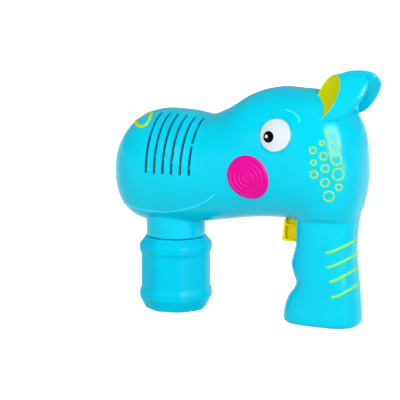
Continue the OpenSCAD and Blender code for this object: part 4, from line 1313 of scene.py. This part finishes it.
@dataclass
class Relief:
    """Raised lines on the skin: mouth, brows, nostril rings, bubble rings and grip stripes."""

    form: BodyForm
    kit: FinishKit
    line: float = 1.12
    proud: float = 0.35
    bold: float = 0.1
    bubbles: tuple[Triple, ...] = (
        (77.4, 150.0, 1.75), (75.0, 142.8, 2.2), (82.5, 140.7, 4.1), (69.4, 137.5, 2.9),
        (76.6, 133.2, 3.2), (84.7, 130.4, 4.4), (70.0, 128.5, 2.4), (77.7, 124.2, 3.3),
        (85.7, 119.6, 4.8), (70.3, 119.7, 3.2), (77.3, 113.5, 3.6), (86.1, 109.9, 2.9),
        (79.0, 103.0, 4.4),
    )
    bubble_steps: int = 40
    stripe_width: float = 1.8
    stripe_start: Spots = ((73.3, 58.2), (74.4, 47.3), (76.7, 36.6), (78.6, 24.8))
    stripe_rise: Spots = (
        (0.0, 0.0), (0.2, 1.7), (0.43, 4.5), (0.72, 7.1), (0.95, 7.8), (1.0, 7.8),
    )
    stripe_far_x: float = 86.6
    stripe_end: float = 0.004
    stripe_steps: int = 60
    mouth_side: Spots = (
        (-9.5, 99.1), (-17.5, 93.3), (-26.8, 88.3), (-41.0, 83.5), (-55.8, 80.7), (-69.0, 80.8),
        (-80.4, 82.5), (-90.3, 84.1),
    )
    mouth_front: Spots = ((17.0, 83.6), (8.0, 82.2), (0.1, 81.6))
    mouth_width: float = 1.3
    mouth_proud: float = 0.4
    mouth_steps: int = 240
    brow_line: Spots = (
        (44.6, 165.4), (46.4, 165.1), (50.8, 163.9), (54.1, 162.1), (56.5, 159.7), (57.6, 156.7),
    )
    brow_width: float = 1.9
    brow_proud: float = 0.55
    brow_steps: int = 60
    nostril: Spot = (-80.2, 15.9)
    nostril_half: Spot = (14.0, 5.8)
    nostril_turn: float = 32.0
    nostril_width: float = 2.8
    nostril_steps: int = 96
    nostril_below: float = 35.0
    tip_steps: int = 6
    bead_step: float = 0.8
    sharp: float = 60.0

    def bead(
        self, guide: np.ndarray, width: float, proud: float, round_end: bool = False
    ) -> Solid:
        """Raised line along a guide on the skin, with a round start.

        Args:
            guide: points on the skin, close together.
            width: width of the line.
            proud: height of the line.
            round_end: whether the end is round too.

        Returns:
            The line.
        """
        form, half = self.form, width / 2
        guide = settle(form.outside, guide)
        total = np.linalg.norm(np.diff(guide, axis=0), axis=1).sum()
        tip = half * (1 - np.cos(np.linspace(0.1, np.pi / 2, self.tip_steps)))
        body = np.linspace(half, total - half, max(8, int(total / self.bead_step)))[1:-1]
        at = np.concatenate([tip, body, total - tip[::-1]])
        path = settle(form.outside, along(guide, at))
        size = np.ones(len(at))
        for way in (at, total - at) if round_end else (at,):
            size = np.minimum(size, np.sqrt(1 - (1 - np.clip(way / half, 0, 1)) ** 2))
        return sweep(path, form.normals(path), oval(half, proud), size)

    def ring(self, guide: np.ndarray, width: float, proud: float) -> Solid:
        """Raised closed line along a guide on the skin."""
        return self.form.hoop(settle(self.form.outside, guide), width / 2, proud)

    def bubble_rings(self, side: Side) -> Iterator[Solid]:
        """Rings behind the eye and cheek, each a circle on the skin round its middle.

        Args:
            side: side of the toy.

        Returns:
            The rings, one by one.
        """
        turn = circle(self.bubble_steps)
        for x, z, r in self.bubbles:
            centre = self.form.at_side(side, np.array([x]), np.array([z]))
            out = self.form.normals(centre)[0]
            flat = unit(np.cross((0.0, 0.0, 1.0), out))
            spokes = np.outer(np.cos(turn), flat) + np.outer(np.sin(turn), np.cross(out, flat))
            yield self.ring(centre + (r - self.line / 2) * spokes, self.line, self.proud)

    def stripes(self, side: Side) -> Iterator[Solid]:
        """Stripes that wrap the rear of the grip.

        Args:
            side: side of the toy.

        Returns:
            The stripes, one by one.
        """
        form, rise = self.form, np.array(self.stripe_rise)
        front_knots, rear_knots, _ = form.grip_edges()
        for x, low in self.stripe_start:
            begin_x = x if side is Side.LEFT else self.stripe_far_x
            flank = form.at_side(side, np.array([x, begin_x]), np.array([low, low + 5]))
            middle = (np.interp(low, *front_knots.T) + np.interp(low, *rear_knots.T)) / 2
            full, first = (math.atan2(abs(p[1]), p[0] - middle) for p in flank)
            turn = np.linspace(first, self.stripe_end, self.stripe_steps)
            still = np.zeros(self.stripe_steps)
            z = low + hermite(rise, 1, 1 - turn / full)
            start = np.column_stack([still + middle, still, z])
            way = np.column_stack([np.cos(turn), side.value * np.sin(turn), still])
            guide = cast(form.outside, start, way)
            yield self.bead(guide, self.stripe_width, self.proud + self.bold)

    def mouth(self, side: Side) -> Solid:
        """Mouth line from the cheek round the front, under the outlet.

        Args:
            side: side of the toy.

        Returns:
            The line.
        """
        form, front = self.form, np.array(self.mouth_front)
        first = form.at_side(side, *np.array(self.mouth_side).T)
        start = np.column_stack([
            np.full(len(front), form.front_x), side.value * front[:, 0], front[:, 1]
        ])
        last = cast(form.outside, start, (-1.0, 0.0, 0.0))
        guide = spline(np.vstack([first, last]), self.mouth_steps)
        return self.bead(guide, self.mouth_width, self.mouth_proud)

    def brow(self, side: Side) -> Solid:
        """Short brow over an eye."""
        guide = spline(self.form.at_side(side, *np.array(self.brow_line).T), self.brow_steps)
        return self.bead(guide, self.brow_width, self.brow_proud, True)

    def nostril_ring(self, side: Side) -> Solid:
        """Oval line round a nostril, on the top of the snout.

        Args:
            side: side of the toy.

        Returns:
            The line.
        """
        turn, lean = circle(self.nostril_steps), math.radians(self.nostril_turn)
        far, wide = self.nostril_half[0] * np.cos(turn), self.nostril_half[1] * np.sin(turn)
        x = self.nostril[0] - far * math.sin(lean) + wide * math.cos(lean)
        y = self.nostril[1] - far * math.cos(lean) - wide * math.sin(lean)
        z = np.full(len(x), self.form.saddle_top - self.nostril_below)
        start = np.column_stack([x, side.value * y, z])
        guide = cast(self.form.outside, start, (0.0, 0.0, 1.0))
        return self.ring(guide, self.nostril_width, self.proud + self.bold)

    def build(self) -> Iterator[bpy.types.Object]:
        """All raised lines of both sides.

        Returns:
            The pieces, one by one.
        """
        for side in Side:
            made = (
                # Mouth line and brow are shell plastic drawn in a lighter cyan: a painted highlight
                # along each ridge.
                ("mouth_line", self.mouth(side), Slot.SHELL, PAINTED_HIGHLIGHT_CYAN),
                ("brow", self.brow(side), Slot.SHELL, PAINTED_HIGHLIGHT_CYAN),
                ("nostril_ring", self.nostril_ring(side), Slot.LIME, NOSTRIL_LIME),
                ("bubble_rings", together(self.bubble_rings(side)), Slot.LIME, RING_LIME),
                ("grip_stripes", together(self.stripes(side)), Slot.LIME, LINE_GREEN),
            )
            for name, solid, slot, finish in made:
                piece = add_object(f"{name}_{side.word}", solid)
                yield self.kit.dress(piece, slot, finish=finish, sharp=self.sharp)


@dataclass
class Ears:
    """Leaf-shaped ears with linings set into their openings."""

    form: BodyForm
    kit: FinishKit
    length: float = 38.0
    width: float = 22.5
    depth: float = 25.5
    x: float = 73.4
    y: float = 20.0
    z: float = 174.0
    yaw: float = 58.0
    lean: float = 26.0
    pinch: float = 7.3
    lift: float = 6.0
    sag: float = 0.4
    rim: float = 0.945
    recess: float = 2.6
    lining_rim: float = 0.933
    lining_low: float = 2.5
    lip: float = 0.996
    steps: int = 96
    peg: Triple = (81.4, 18.0, 3.0)
    round_power: float = 0.68
    tall_power: float = 0.95
    narrow: Spot = (0.24, 0.22)
    seat_gap: float = 0.12
    seat_face: float = 2.0
    sharp: float = 40.0

    def ring(self, side: Side, depth: float, share: float) -> np.ndarray:
        """Outline of an ear.

        Args:
            side: side of the toy.
            depth: millimetres behind the opening.
            share: size of the outline.

        Returns:
            Points round the ear.
        """
        up, out = np.cos(circle(self.steps)), -np.sin(circle(self.steps))
        yaw, lean = math.radians(self.yaw), math.radians(self.lean)
        across = np.array([math.sin(yaw), -math.cos(yaw), 0])
        tip = math.sin(lean)
        rise = np.array([math.cos(yaw) * tip, math.sin(yaw) * tip, math.cos(lean)])
        back = np.array([self.depth, self.pinch, self.lift]) * depth / self.depth
        tall = self.length / 2 * share * np.sign(up) * np.abs(up) ** self.tall_power
        tall = tall * np.where(up < 0, 1 + self.sag * depth / self.depth, 1)
        ends, skew = self.narrow
        wide = self.width / 2 * share * out * (1 - ends * up * up + skew * up)
        points = np.array([self.x, -self.y, self.z]) + back
        points = points + np.outer(tall, rise) + np.outer(wide, across)
        return points * (1, -side.value, 1)

    def ear(self, side: Side, seat: bpy.types.Object) -> bpy.types.Object:
        """One ear with its rounded rim, trimmed to the head.

        Args:
            side: side of the toy.
            seat: skin of the head that it sits on.

        Returns:
            The ear.
        """
        rim, low = self.rim, self.recess
        turn = np.radians(np.concatenate([[89.3, 87, 84], np.arange(80, 0, -4.0), [2]]))
        steps = [(self.depth * math.sin(a), math.cos(a) ** self.round_power) for a in turn]
        steps += [(0.0, 1.0), (-0.35, 0.99), (-0.5, 0.974), (-0.35, 0.958), (0.0, 0.949)]
        steps += [(0.6, rim), (low - 0.3, rim - 0.002), (low, rim - 0.012), (low, 0.5), (low, 0.02)]
        ear = add_object(f"ear_{side.word}_skin", loft(self.ring(side, d, k) for d, k in steps))
        carve(ear, Carve.TAKE, seat)
        x, y, r = self.peg
        carve(ear, Carve.ADD, rod(2, (x, side.value * y), r, (self.z - 24, self.z + 2)))
        nodes = [f"ear_{side.word}"]
        return self.kit.dress(ear, Slot.SHELL, nodes=nodes, sharp=self.sharp)

    def lining(self, side: Side, seat: bpy.types.Object) -> bpy.types.Object:
        """Lining of one ear, a shallow dish whose rolled edge lies on the ear's rim.

        Args:
            side: side of the toy.
            seat: skin of the head that it stops at.

        Returns:
            The lining.
        """
        low, k, lip = self.lining_low, self.lining_rim, self.lip
        steps = [
            (low, 0.02), (low, 0.5), (low, k), (0.55, k), (-0.05, k + 0.004), (-0.42, k + 0.014),
            (-0.62, 0.974), (-0.5, lip - 0.004), (-0.66, lip), (-0.8, lip - 0.011),
            (-0.82, lip - 0.041), (-0.6, lip - 0.071), (-0.1, lip - 0.096), (0.2, lip - 0.136),
            (0.5, 0.55), (0.8, 0.3), (0.9, 0.02),
        ]
        rings = (self.ring(side, d, s) for d, s in steps)
        lining = add_object(f"ear_lining_{side.word}_dish", loft(rings))
        carve(lining, Carve.TAKE, seat)
        nodes = [f"ear_lining_{side.word}"]
        return self.kit.dress(lining, Slot.LIME, nodes=nodes, sharp=self.sharp)

    def build(self) -> Iterator[bpy.types.Object]:
        """Both ears and linings.

        Returns:
            The pieces, one by one.
        """
        seat = self.form.skin("ear_seat", self.form.head, self.seat_gap, self.seat_face)
        for side in Side:
            yield self.ear(side, seat)
            yield self.lining(side, seat)
        drop(seat)


@dataclass
class Eyes:
    """Domed eyes with inset pupils and a painted glint."""

    form: BodyForm
    kit: FinishKit
    x: float = 40.5
    z: float = 147.1
    r: float = 11.9
    dome: float = 30.0
    proud: float = 3.0
    pocket: float = 1.2
    peg_r: float = 3.0
    pupil_r: float = 4.2
    pupil_at: Spot = (-4.3, -1.1)
    pupil_depth: float = 2.0
    seat_to: float = 60.0
    pupil_proud: float = 0.3
    pupil_edge: float = 0.35
    pupil_gap: float = 0.1
    glint_r: float = 1.25
    glint_at: Spot = (-1.5, 0.3)
    glint_proud: float = 0.06
    glint_depth: float = 1.2
    glint_edge: float = 0.05
    edge: float = 0.7
    peg: float = 9.0
    steps: int = 96
    eye_rings: tuple[int, int] = (12, 6)
    lens_rings: tuple[int, int] = (8, 5)
    sharp: float = 40.0
    lens_sharp: float = 50.0

    def skin_y(self, dz: float = 0.0) -> float:
        """Half width of the head at the eye."""
        return self.form.at_side(Side.RIGHT, np.array([self.x]), np.array([self.z + dz]))[0, 1]

    def dome_y(self, x: np.ndarray, z: np.ndarray, grow: float = 0.0) -> np.ndarray:
        """Half width at the eye's dome, or grown over it.

        Args:
            x: places along the head.
            z: heights.
            grow: height over the dome.

        Returns:
            The half widths.
        """
        tilt = math.atan((self.skin_y(-1) - self.skin_y(1)) / 2)
        reach = self.dome - self.proud
        y, height = self.skin_y() - reach * math.cos(tilt), self.z - reach * math.sin(tilt)
        return y + np.sqrt((self.dome + grow) ** 2 - (x - self.x) ** 2 - (z - height) ** 2)

    def around(self, at: Spot, r: float) -> tuple[np.ndarray, np.ndarray]:
        """Circle round a place from the eye's centre, as x and z."""
        turn = circle(self.steps)
        return self.x + at[0] + r * np.cos(turn), self.z + at[1] + r * np.sin(turn)

    def over_dome(
        self, side: Side, at: Spot, r: float, edge: float, grow: float, counts: tuple[int, int]
    ) -> list[np.ndarray]:
        """Rings over the dome, from a middle to a rounded edge.

        Args:
            side: side of the toy.
            at: middle from the eye's centre, in x and z.
            r: radius.
            edge: radius of the rounded edge.
            grow: height over the dome.
            counts: rings inside the edge and round it.

        Returns:
            The rings.
        """
        shares = [(k, 0.0) for k in np.linspace(0.01, 1, counts[0])[:-1] * (r - edge)]
        for a in np.linspace(0, np.pi / 2, counts[1]):
            shares.append((r - edge + edge * math.sin(a), edge * (1 - math.cos(a))))
        rings = []
        for radius, fall in shares:
            x, z = self.around(at, radius)
            rings.append(np.column_stack([x, side.value * (self.dome_y(x, z, grow) - fall), z]))
        return rings

    def disc(
        self, side: Side, at: Spot, r: float, grow: float, back: float, edge: float
    ) -> Solid:
        """Lens that follows the dome.

        Args:
            side: side of the toy.
            at: centre from the eye's, in x and z.
            r: radius.
            grow: height over the dome.
            back: y of its flat back, as half width.
            edge: radius of its rounded edge.

        Returns:
            The lens.
        """
        x, z = self.around(at, r)
        flat = np.column_stack([x, np.full(len(x), side.value * back), z])
        return loft([*self.over_dome(side, at, r, edge, grow, self.lens_rings), flat])

    def eye(self, side: Side) -> bpy.types.Object:
        """White of one eye, with its peg and the seat of the pupil.

        Args:
            side: side of the toy.

        Returns:
            The eye.
        """
        top, middle = self.skin_y() + self.proud, (0.0, 0.0)
        rings = self.over_dome(side, middle, self.r, self.edge, 0.0, self.eye_rings)
        for radius in np.linspace(self.r, self.peg_r, 4):
            rings.append(self.form.at_side(side, *self.around(middle, radius), -self.pocket))
        x, z = self.around(middle, self.peg_r)
        rings.append(np.column_stack([x, np.full(len(x), side.value * (top - self.peg)), z]))
        eye = add_object(f"eye_{side.word}_dome", loft(rings))
        dx, dz = self.pupil_at
        span = (side.value * (top - self.pupil_depth), side.value * self.seat_to)
        seat = rod(1, (self.x + dx, self.z + dz), self.pupil_r + self.pupil_gap, span)
        carve(eye, Carve.TAKE, seat)
        nodes = [f"eye_{side.word}"]
        return self.kit.dress(eye, Slot.WHITE, nodes=nodes, sharp=self.sharp)

    def build(self) -> Iterator[bpy.types.Object]:
        """Eyes, pupils and glints of both sides.

        Returns:
            The pieces, one by one.
        """
        top, (x, z) = self.skin_y() + self.proud, self.pupil_at
        glint_at = (x + self.glint_at[0], z + self.glint_at[1])
        pupil_back = top - self.pupil_depth + self.pupil_gap
        glint_proud, glint_back = self.pupil_proud + self.glint_proud, top - self.glint_depth
        for side in Side:
            yield self.eye(side)
            pupil = add_object(f"pupil_{side.word}_lens", self.disc(
                side, (x, z), self.pupil_r, self.pupil_proud, pupil_back, self.pupil_edge
            ))
            nodes = [f"pupil_{side.word}"]
            yield self.kit.dress(pupil, Slot.BLACK, nodes=nodes, sharp=self.lens_sharp)
            glint = add_object(f"pupil_glint_{side.word}", self.disc(
                side, glint_at, self.glint_r, glint_proud, glint_back, self.glint_edge
            ))
            yield self.kit.dress(glint, Slot.WHITE, sharp=self.lens_sharp)


@dataclass
class Cheeks:
    """Round cheeks with concentric ridges."""

    form: BodyForm
    kit: FinishKit
    x: float = 18.7
    z: float = 114.2
    r: float = 16.9
    proud: float = 0.6
    ridge: float = 0.75
    crests: tuple[float, ...] = (0.87, 0.66, 0.45, 0.24)
    crest_half: float = 0.105
    crest_power: float = 1.3
    edge_share: float = 0.97
    edge_fall: float = 20.0
    face_steps: int = 58
    pocket: float = 1.2
    peg_r: float = 3.0
    peg: float = 6.0
    steps: int = 96
    sharp: float = 60.0

    def ring(self, side: Side, r: float, level: float) -> np.ndarray:
        """Circle on the head's side at a level over it.

        Args:
            side: side of the toy.
            r: radius.
            level: height over the skin.

        Returns:
            Points round the circle.
        """
        turn = circle(self.steps)
        x, z = self.x + r * np.cos(turn), self.z + r * np.sin(turn)
        return self.form.at_side(side, x, z, level)

    def build(self) -> Iterator[bpy.types.Object]:
        """Both cheeks.

        Returns:
            The pieces, one by one.
        """
        face = np.linspace(self.edge_share, 0.1, self.face_steps)
        shares = np.concatenate([[1.0, 0.995, 0.985], face, [0.05, 0.003]])
        for side in Side:
            peg = self.ring(side, self.peg_r, 0.0)
            peg[:, 1] = side.value * (np.abs(peg[:, 1]).max() - self.peg)
            back = np.linspace(self.peg_r, self.r, 5)
            rings = [peg, *(self.ring(side, r, -self.pocket) for r in back)]
            for share in shares:
                off = min(abs(share - c) for c in self.crests) / self.crest_half
                wave = (0.5 + 0.5 * math.cos(math.pi * min(off, 1.0))) ** self.crest_power
                edge = min(0.0, self.edge_share - share) * self.edge_fall
                level = self.proud + self.ridge * wave + edge
                rings.append(self.ring(side, self.r * share, level))
            cheek = add_object(f"cheek_{side.word}_button", loft(rings))
            nodes = [f"cheek_{side.word}"]
            yield self.kit.dress(cheek, Slot.PINK, nodes=nodes, sharp=self.sharp)


# Bottle, trigger and works


@dataclass
class Bottle:
    """Solution bottle with eight soft flats and a threaded neck."""

    kit: FinishKit
    x: float = -60.0
    height: float = 57.5
    flat: float = 26.4
    foot: float = 23.5
    bulge: float = 1.3
    soft: float = 0.7
    wall: float = 1.6
    neck_r: float = 15.5
    neck_h: float = 13.0
    neck_wall: float = 2.4
    corner_power: float = 16.0
    turn: float = 12.5
    pitch: float = 4.0
    thread_depth: float = 1.3
    thread_turns: float = 1.7
    thread_low: float = 61.7
    thread_steps: int = 48
    thread_run_in: int = 8
    thread_sunk: float = 0.3
    thread_foot: float = 0.95
    thread_top: float = 0.45
    sides: int = 128
    sharp: float = 40.0

    def width(self, z: float) -> float:
        """Half width across the flats at a height: bands and slopes with slightly soft corners.

        Args:
            z: height.

        Returns:
            The half width.
        """
        h, f, b = self.height, self.flat, self.flat + self.bulge
        knots = np.array([
            (0, self.foot - 0.2), (9.2, b), (13.9, b), (17.5, f), (h - 14, f), (h - 10.8, b),
            (h - 6, b), (h, f - 3.3),
        ])
        return float(np.interp(z + self.soft * np.linspace(-1, 1, 7), *knots.T).mean())

    def ring(self, z: float, r: float, flats: float = 0.0) -> np.ndarray:
        """Section of the bottle.

        Args:
            z: height.
            r: half width.
            flats: share of the eight flats, 0 is round.

        Returns:
            Points round the section.
        """
        turn, power = circle(self.sides), self.corner_power
        faces = (np.maximum(0, np.cos(turn - k * np.pi / 4)) ** power for k in range(8))
        reach = r * (1 / np.stack(list(faces)).sum(axis=0) ** (1 / power)) ** flats
        a, z = turn + math.radians(self.turn), np.full(self.sides, z)
        return np.column_stack([self.x + reach * np.cos(a), reach * np.sin(a), z])

    def thread(self) -> Solid:
        """Ridge of the thread on the neck.

        Returns:
            The ridge.
        """
        steps, foot, top = self.thread_steps, self.thread_foot, self.thread_top
        count, root = int(self.thread_turns * steps), self.neck_r - self.thread_sunk
        rings = []
        for i in range(count + 1):
            a, z = 2 * np.pi * i / steps, self.thread_low + self.pitch * i / steps
            full = min(1.0, min(i, count - i) / self.thread_run_in + 0.03)
            crest = self.neck_r + self.thread_depth * full
            rings.append(np.array([
                (self.x + r * math.cos(a), r * math.sin(a), z + dz)
                for r, dz in ((root, -foot), (crest, -top), (crest, top), (root, foot))
            ]))
        return loft(rings)

    def build(self) -> Iterator[bpy.types.Object]:
        """The bottle.

        Returns:
            The pieces, one by one.
        """
        h, neck, top = self.height, self.neck_r, self.height + self.neck_h
        bore, inner = neck - self.neck_wall, self.flat - self.wall - 0.6
        inside = [
            (self.wall, 0.2), (self.wall, self.foot - self.wall - 1), (9.5, inner),
            (h - 5.5, inner), (h - 2.2, bore + 2.5), (h + 1, bore), (top - 0.4, bore),
            (top, bore + 0.4),
            (top, neck - 0.4), (top - 0.4, neck), (h + 0.9, neck), (h + 0.25, neck + 0.2),
            (h, neck + 1.2),
        ]
        heights = [np.linspace(h, h - 15, 46), np.linspace(40, 21, 5), np.linspace(19, 0.6, 56)]
        foot = [(0.2, 0.2), (0.0, 0.6), (0.0, 4.0), (0.6, 5.0)]
        rings = [self.ring(z, r) for z, r in inside]
        rings += [self.ring(z, self.width(z), 1.0) for z in np.concatenate(heights)]
        rings += [self.ring(z, self.foot - r, 1.0) for z, r in foot]
        rings.append(self.ring(0.6, 0.2))
        bottle = add_object("bottle_shell", together([loft(rings), self.thread()]))
        yield self.kit.dress(bottle, Slot.BOTTLE, "bottle_unit", ["bottle"], sharp=self.sharp)


@dataclass
class Softened:
    """Moulded pieces whose edges get a small radius."""

    form: BodyForm
    kit: FinishKit
    set_back: float = 0.3
    trim_face: float = 2.0
    weld: float = 0.002
    flat_angle: float = 2.0
    edge_angle: float = 32.0

    def piece(
        self,
        node: str,
        slot: Slot,
        body: str,
        radius: float,
        inside: bpy.types.Object | None = None,
    ) -> bpy.types.Object:
        """Copy of a solid with rounded edges.

        Args:
            node: name of the solid.
            slot: slot of the record.
            body: body of the part.
            radius: radius of the edges.
            inside: skin that the piece is trimmed to.

        Returns:
            The piece.
        """
        shape = bmesh.new()
        shape.from_mesh(frame["nodes"][node].data)
        bmesh.ops.remove_doubles(shape, verts=shape.verts, dist=self.weld * MM)
        flat = math.radians(self.flat_angle)
        bmesh.ops.dissolve_limit(shape, angle_limit=flat, verts=shape.verts, edges=shape.edges)
        mesh = bpy.data.meshes.new(f"{node}_moulding")
        shape.to_mesh(mesh)
        shape.free()
        piece = put(f"{node}_moulding", mesh)
        if inside is not None:
            carve(piece, Carve.KEEP, inside)
        bevel = piece.modifiers.new("edges", "BEVEL")
        bevel.width, bevel.segments, bevel.limit_method = radius * MM, 3, "ANGLE"
        bevel.angle_limit = math.radians(self.edge_angle)
        apply_modifiers(piece)
        return self.kit.dress(piece, slot, body, [node], sharp=self.edge_angle)

    def build(self) -> Iterator[bpy.types.Object]:
        """Trigger, outlet ring, film plate and switch.

        Returns:
            The pieces, one by one.
        """
        front = self.form.skin("front_trim", self.form.head, -self.set_back, self.trim_face)
        yield self.piece("trigger", Slot.YELLOW, "trigger_unit", 0.55)
        yield self.piece("outlet_ring", Slot.LIME, "shell", 0.4, front)
        drop(front)
        yield self.piece("bubble_ring", Slot.YELLOW, "shell", 0.35)
        yield self.piece("switch_body", Slot.BLACK, "shell", 0.3)


@dataclass
class TriggerSpring:
    """Coil spring between the trigger's bar and the switch, with closed end turns."""

    kit: FinishKit
    r: float = 3.2
    wire: float = 0.35
    turns: float = 4.5
    turn_steps: int = 32
    end_turn: float = 0.75
    end_share: float = 0.08
    keep: float = 0.33
    sharp: float = 60.0

    def build(self) -> Iterator[bpy.types.Object]:
        """The spring at its rest length, as one fixed coil.

        Returns:
            The pieces, one by one.
        """
        low, high = (np.array(c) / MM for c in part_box("trigger_spring"))
        start, end, middle = low[0] + self.wire, high[0] - self.wire, (low[2] + high[2]) / 2
        last, flat, close = self.turns, self.end_turn, self.end_share
        turn = np.linspace(0, last, int(last * self.turn_steps) + 1)
        knots = [(0, 0), (flat, close), (last / 2, 0.5), (last - flat, 1 - close), (last, 1)]
        share = hermite(np.array(knots), 1, turn)
        angle, still = 2 * np.pi * turn, 0 * turn
        spoke = np.column_stack([still, np.cos(angle), np.sin(angle)])
        axis = np.column_stack([start + share * (end - start), still, still + middle])
        coil = sweep(spoke * self.r + axis, spoke, oval(self.wire, self.wire))
        spring = add_object("trigger_spring_coil", coil)
        self.kit.dress(spring, Slot.STEEL, nodes=["trigger_spring"], sharp=self.sharp)
        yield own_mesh(spring)


@dataclass
class Works:
    """Solids that keep their shape: gears, motor, pump, cells, screws and wires."""

    kit: FinishKit

    def build(self) -> Iterator[bpy.types.Object]:
        """Every solid that is still shown, in the finish of its slot.

        Returns:
            The pieces, one by one.
        """
        slots = {s["node"]: Slot(s["material_slot"]) for s in frame["record"]["subparts"]}
        for name, node in frame["nodes"].items():
            if not node.hide_render:
                node.data.materials.clear()
                node.data.materials.append(self.kit.material(FINISHES[slots[name]]))
                yield node


# Studio


@dataclass(frozen=True)
class Lamp:
    """Soft lamp that faces the object: its place from the target, size in metres and power.

    A glint only shows in glossy pieces, and every other lamp only lights them.
    """

    name: str
    place: Triple
    size: Spot
    watts: float
    glint: bool = False


@dataclass
class Studio:
    """Camera, floor, backdrop and soft light."""

    target: Triple = (-0.03885, -0.00017, 0.0869)
    camera_from: Triple = (0.5300, -1.1111, 0.2170)
    lens: float = 144.2
    sensor: float = 36.0
    sees_to: float = 100.0
    floor_half: float = 8.0
    floor_glow: float = 0.83
    backdrop_half: float = 7.84
    backdrop_span: Spot = (-0.1, 1.3)
    backdrop_glow: float = 1.0
    pale_grey: float = 0.62
    pale_rough: float = 0.9
    world_light: float = 0.315
    lamps: tuple[Lamp, ...] = (
        Lamp("key", (1.44, -0.83, 0.48), (0.46, 0.80), 16.5),
        Lamp("glint", (1.44, -0.83, 0.48), (0.90, 1.45), 105.0, True),
        Lamp("fill", (-0.60, -1.60, 0.50), (0.8, 0.8), 14.5),
        Lamp("top", (0.2, -0.7, 1.9), (1.0, 1.0), 3.5),
        Lamp("rear", (1.2, 1.2, 0.9), (0.9, 0.9), 6.0),
        Lamp("back", (-0.45, 1.65, 0.4), (0.8, 0.8), 9.0),
    )

    def aim(self, obj: bpy.types.Object, place: Triple) -> None:
        """Puts an object at a place from the target and turns it to the target.

        Args:
            obj: the object.
            place: place from the target.
        """
        obj.location = Vector(self.target) + Vector(place)
        obj.rotation_mode = "QUATERNION"
        obj.rotation_quaternion = (-Vector(place)).to_track_quat("-Z", "Y")

    def camera(self) -> None:
        """Camera at the photograph's angle."""
        data = bpy.data.cameras.new("camera")
        data.lens, data.sensor_width, data.clip_end = self.lens, self.sensor, self.sees_to
        bpy.context.scene.camera = put("camera", data)
        self.aim(bpy.context.scene.camera, self.camera_from)

    def light(self, lamp: Lamp) -> None:
        """Sets up one lamp.

        Args:
            lamp: the lamp.
        """
        data = bpy.data.lights.new(lamp.name, "AREA")
        data.shape, data.energy = "RECTANGLE", lamp.watts
        data.size, data.size_y = lamp.size
        light = put(lamp.name, data)
        light.visible_glossy, light.visible_diffuse = lamp.glint, not lamp.glint
        self.aim(light, lamp.place)

    @staticmethod
    def seen(tree: bpy.types.NodeTree) -> bpy.types.NodeSocket:
        """Whether a ray comes from the camera, a reflection or a clear piece.

        Args:
            tree: nodes of a material.

        Returns:
            Socket that is 1 for such a ray.
        """
        path = tree.nodes.new("ShaderNodeLightPath").outputs
        result = path["Is Camera Ray"]
        for kind in ("Is Glossy Ray", "Is Transmission Ray"):
            either = tree.nodes.new("ShaderNodeMath")
            either.operation = "MAXIMUM"
            wire(tree, (result, either.inputs[0]), (path[kind], either.inputs[1]))
            result = either.outputs[0]
        return result

    def world(self) -> None:
        """Even light all round."""
        world = bpy.data.worlds.new("studio")
        bpy.context.scene.world = world
        world.use_nodes = True
        sky = next(n for n in world.node_tree.nodes if n.type == "BACKGROUND")
        preset(sky, {"Color": (1, 1, 1, 1), "Strength": self.world_light})

    def pale(self, name: str, glow: float) -> bpy.types.Material:
        """Pale material that shows white to the camera and in reflections.

        Args:
            name: name of the material.
            glow: what it adds for such a ray, where 1 is white.

        Returns:
            The material.
        """
        material, shader = new_material(name)
        tree, grey = material.node_tree, self.pale_grey
        preset(shader, {
            "Base Color": (grey, grey, grey, 1),
            "Roughness": self.pale_rough,
            "Specular IOR Level": 0.0,
            "Emission Color": (1, 1, 1, 1),
        })
        strength = tree.nodes.new("ShaderNodeMapRange")
        preset(strength, {"To Max": glow})
        wire(
            tree,
            (self.seen(tree), strength.inputs["Value"]),
            (strength.outputs[0], shader.inputs["Emission Strength"]),
        )
        return material

    def stage(self) -> None:
        """Floor that keeps the object's shadow, and a low backdrop all round that stands in it."""
        square = np.array([(-1, -1), (1, -1), (1, 1), (-1, 1)])
        ground = [(x, y, 0) for x, y in self.floor_half * square]
        edges = [(x, y, z) for z in self.backdrop_span for x, y in self.backdrop_half * square]
        walls = [(i, i + 4, (i + 1) % 4 + 4, (i + 1) % 4) for i in range(4)]
        for name, corners, faces, glow in (
            ("floor", ground, [(0, 1, 2, 3)], self.floor_glow),
            ("backdrop", edges, walls, self.backdrop_glow),
        ):
            mesh = bpy.data.meshes.new(name)
            mesh.from_pydata(corners, [], faces)
            mesh.materials.append(self.pale(f"pale_{name}", glow))
            put(name, mesh)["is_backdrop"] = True

    def build(self) -> None:
        """Sets the scene up."""
        bpy.context.scene.view_settings.view_transform = "Standard"
        self.camera()
        self.stage()
        self.world()
        for lamp in self.lamps:
            self.light(lamp)


def write_sizes() -> None:
    """Puts the solids' box and the dressed box into plain lists, which nothing uses."""
    boxes = {"cad": CAD_BOX, "visual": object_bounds()}
    plain = {name: [list(corner) for corner in box] for name, box in boxes.items()}


def main() -> None:
    """Builds the scene in order and reports each piece."""
    logging.basicConfig(level=logging.INFO, format="%(message)s")
    Studio().build()
    kit, form = FinishKit(), BodyForm()
    on_body = (kind(form, kit) for kind in (Shells, Relief, Ears, Eyes, Cheeks))
    for part in (*on_body, Bottle(kit), Softened(form, kit), TriggerSpring(kit), Works(kit)):
        for piece in part.build():
            faces = len(piece.data.polygons)
            LOG.info("%s: %s, %d faces", type(part).__name__, piece.name, faces)
    write_sizes()


if __name__ == "__main__":
    main()
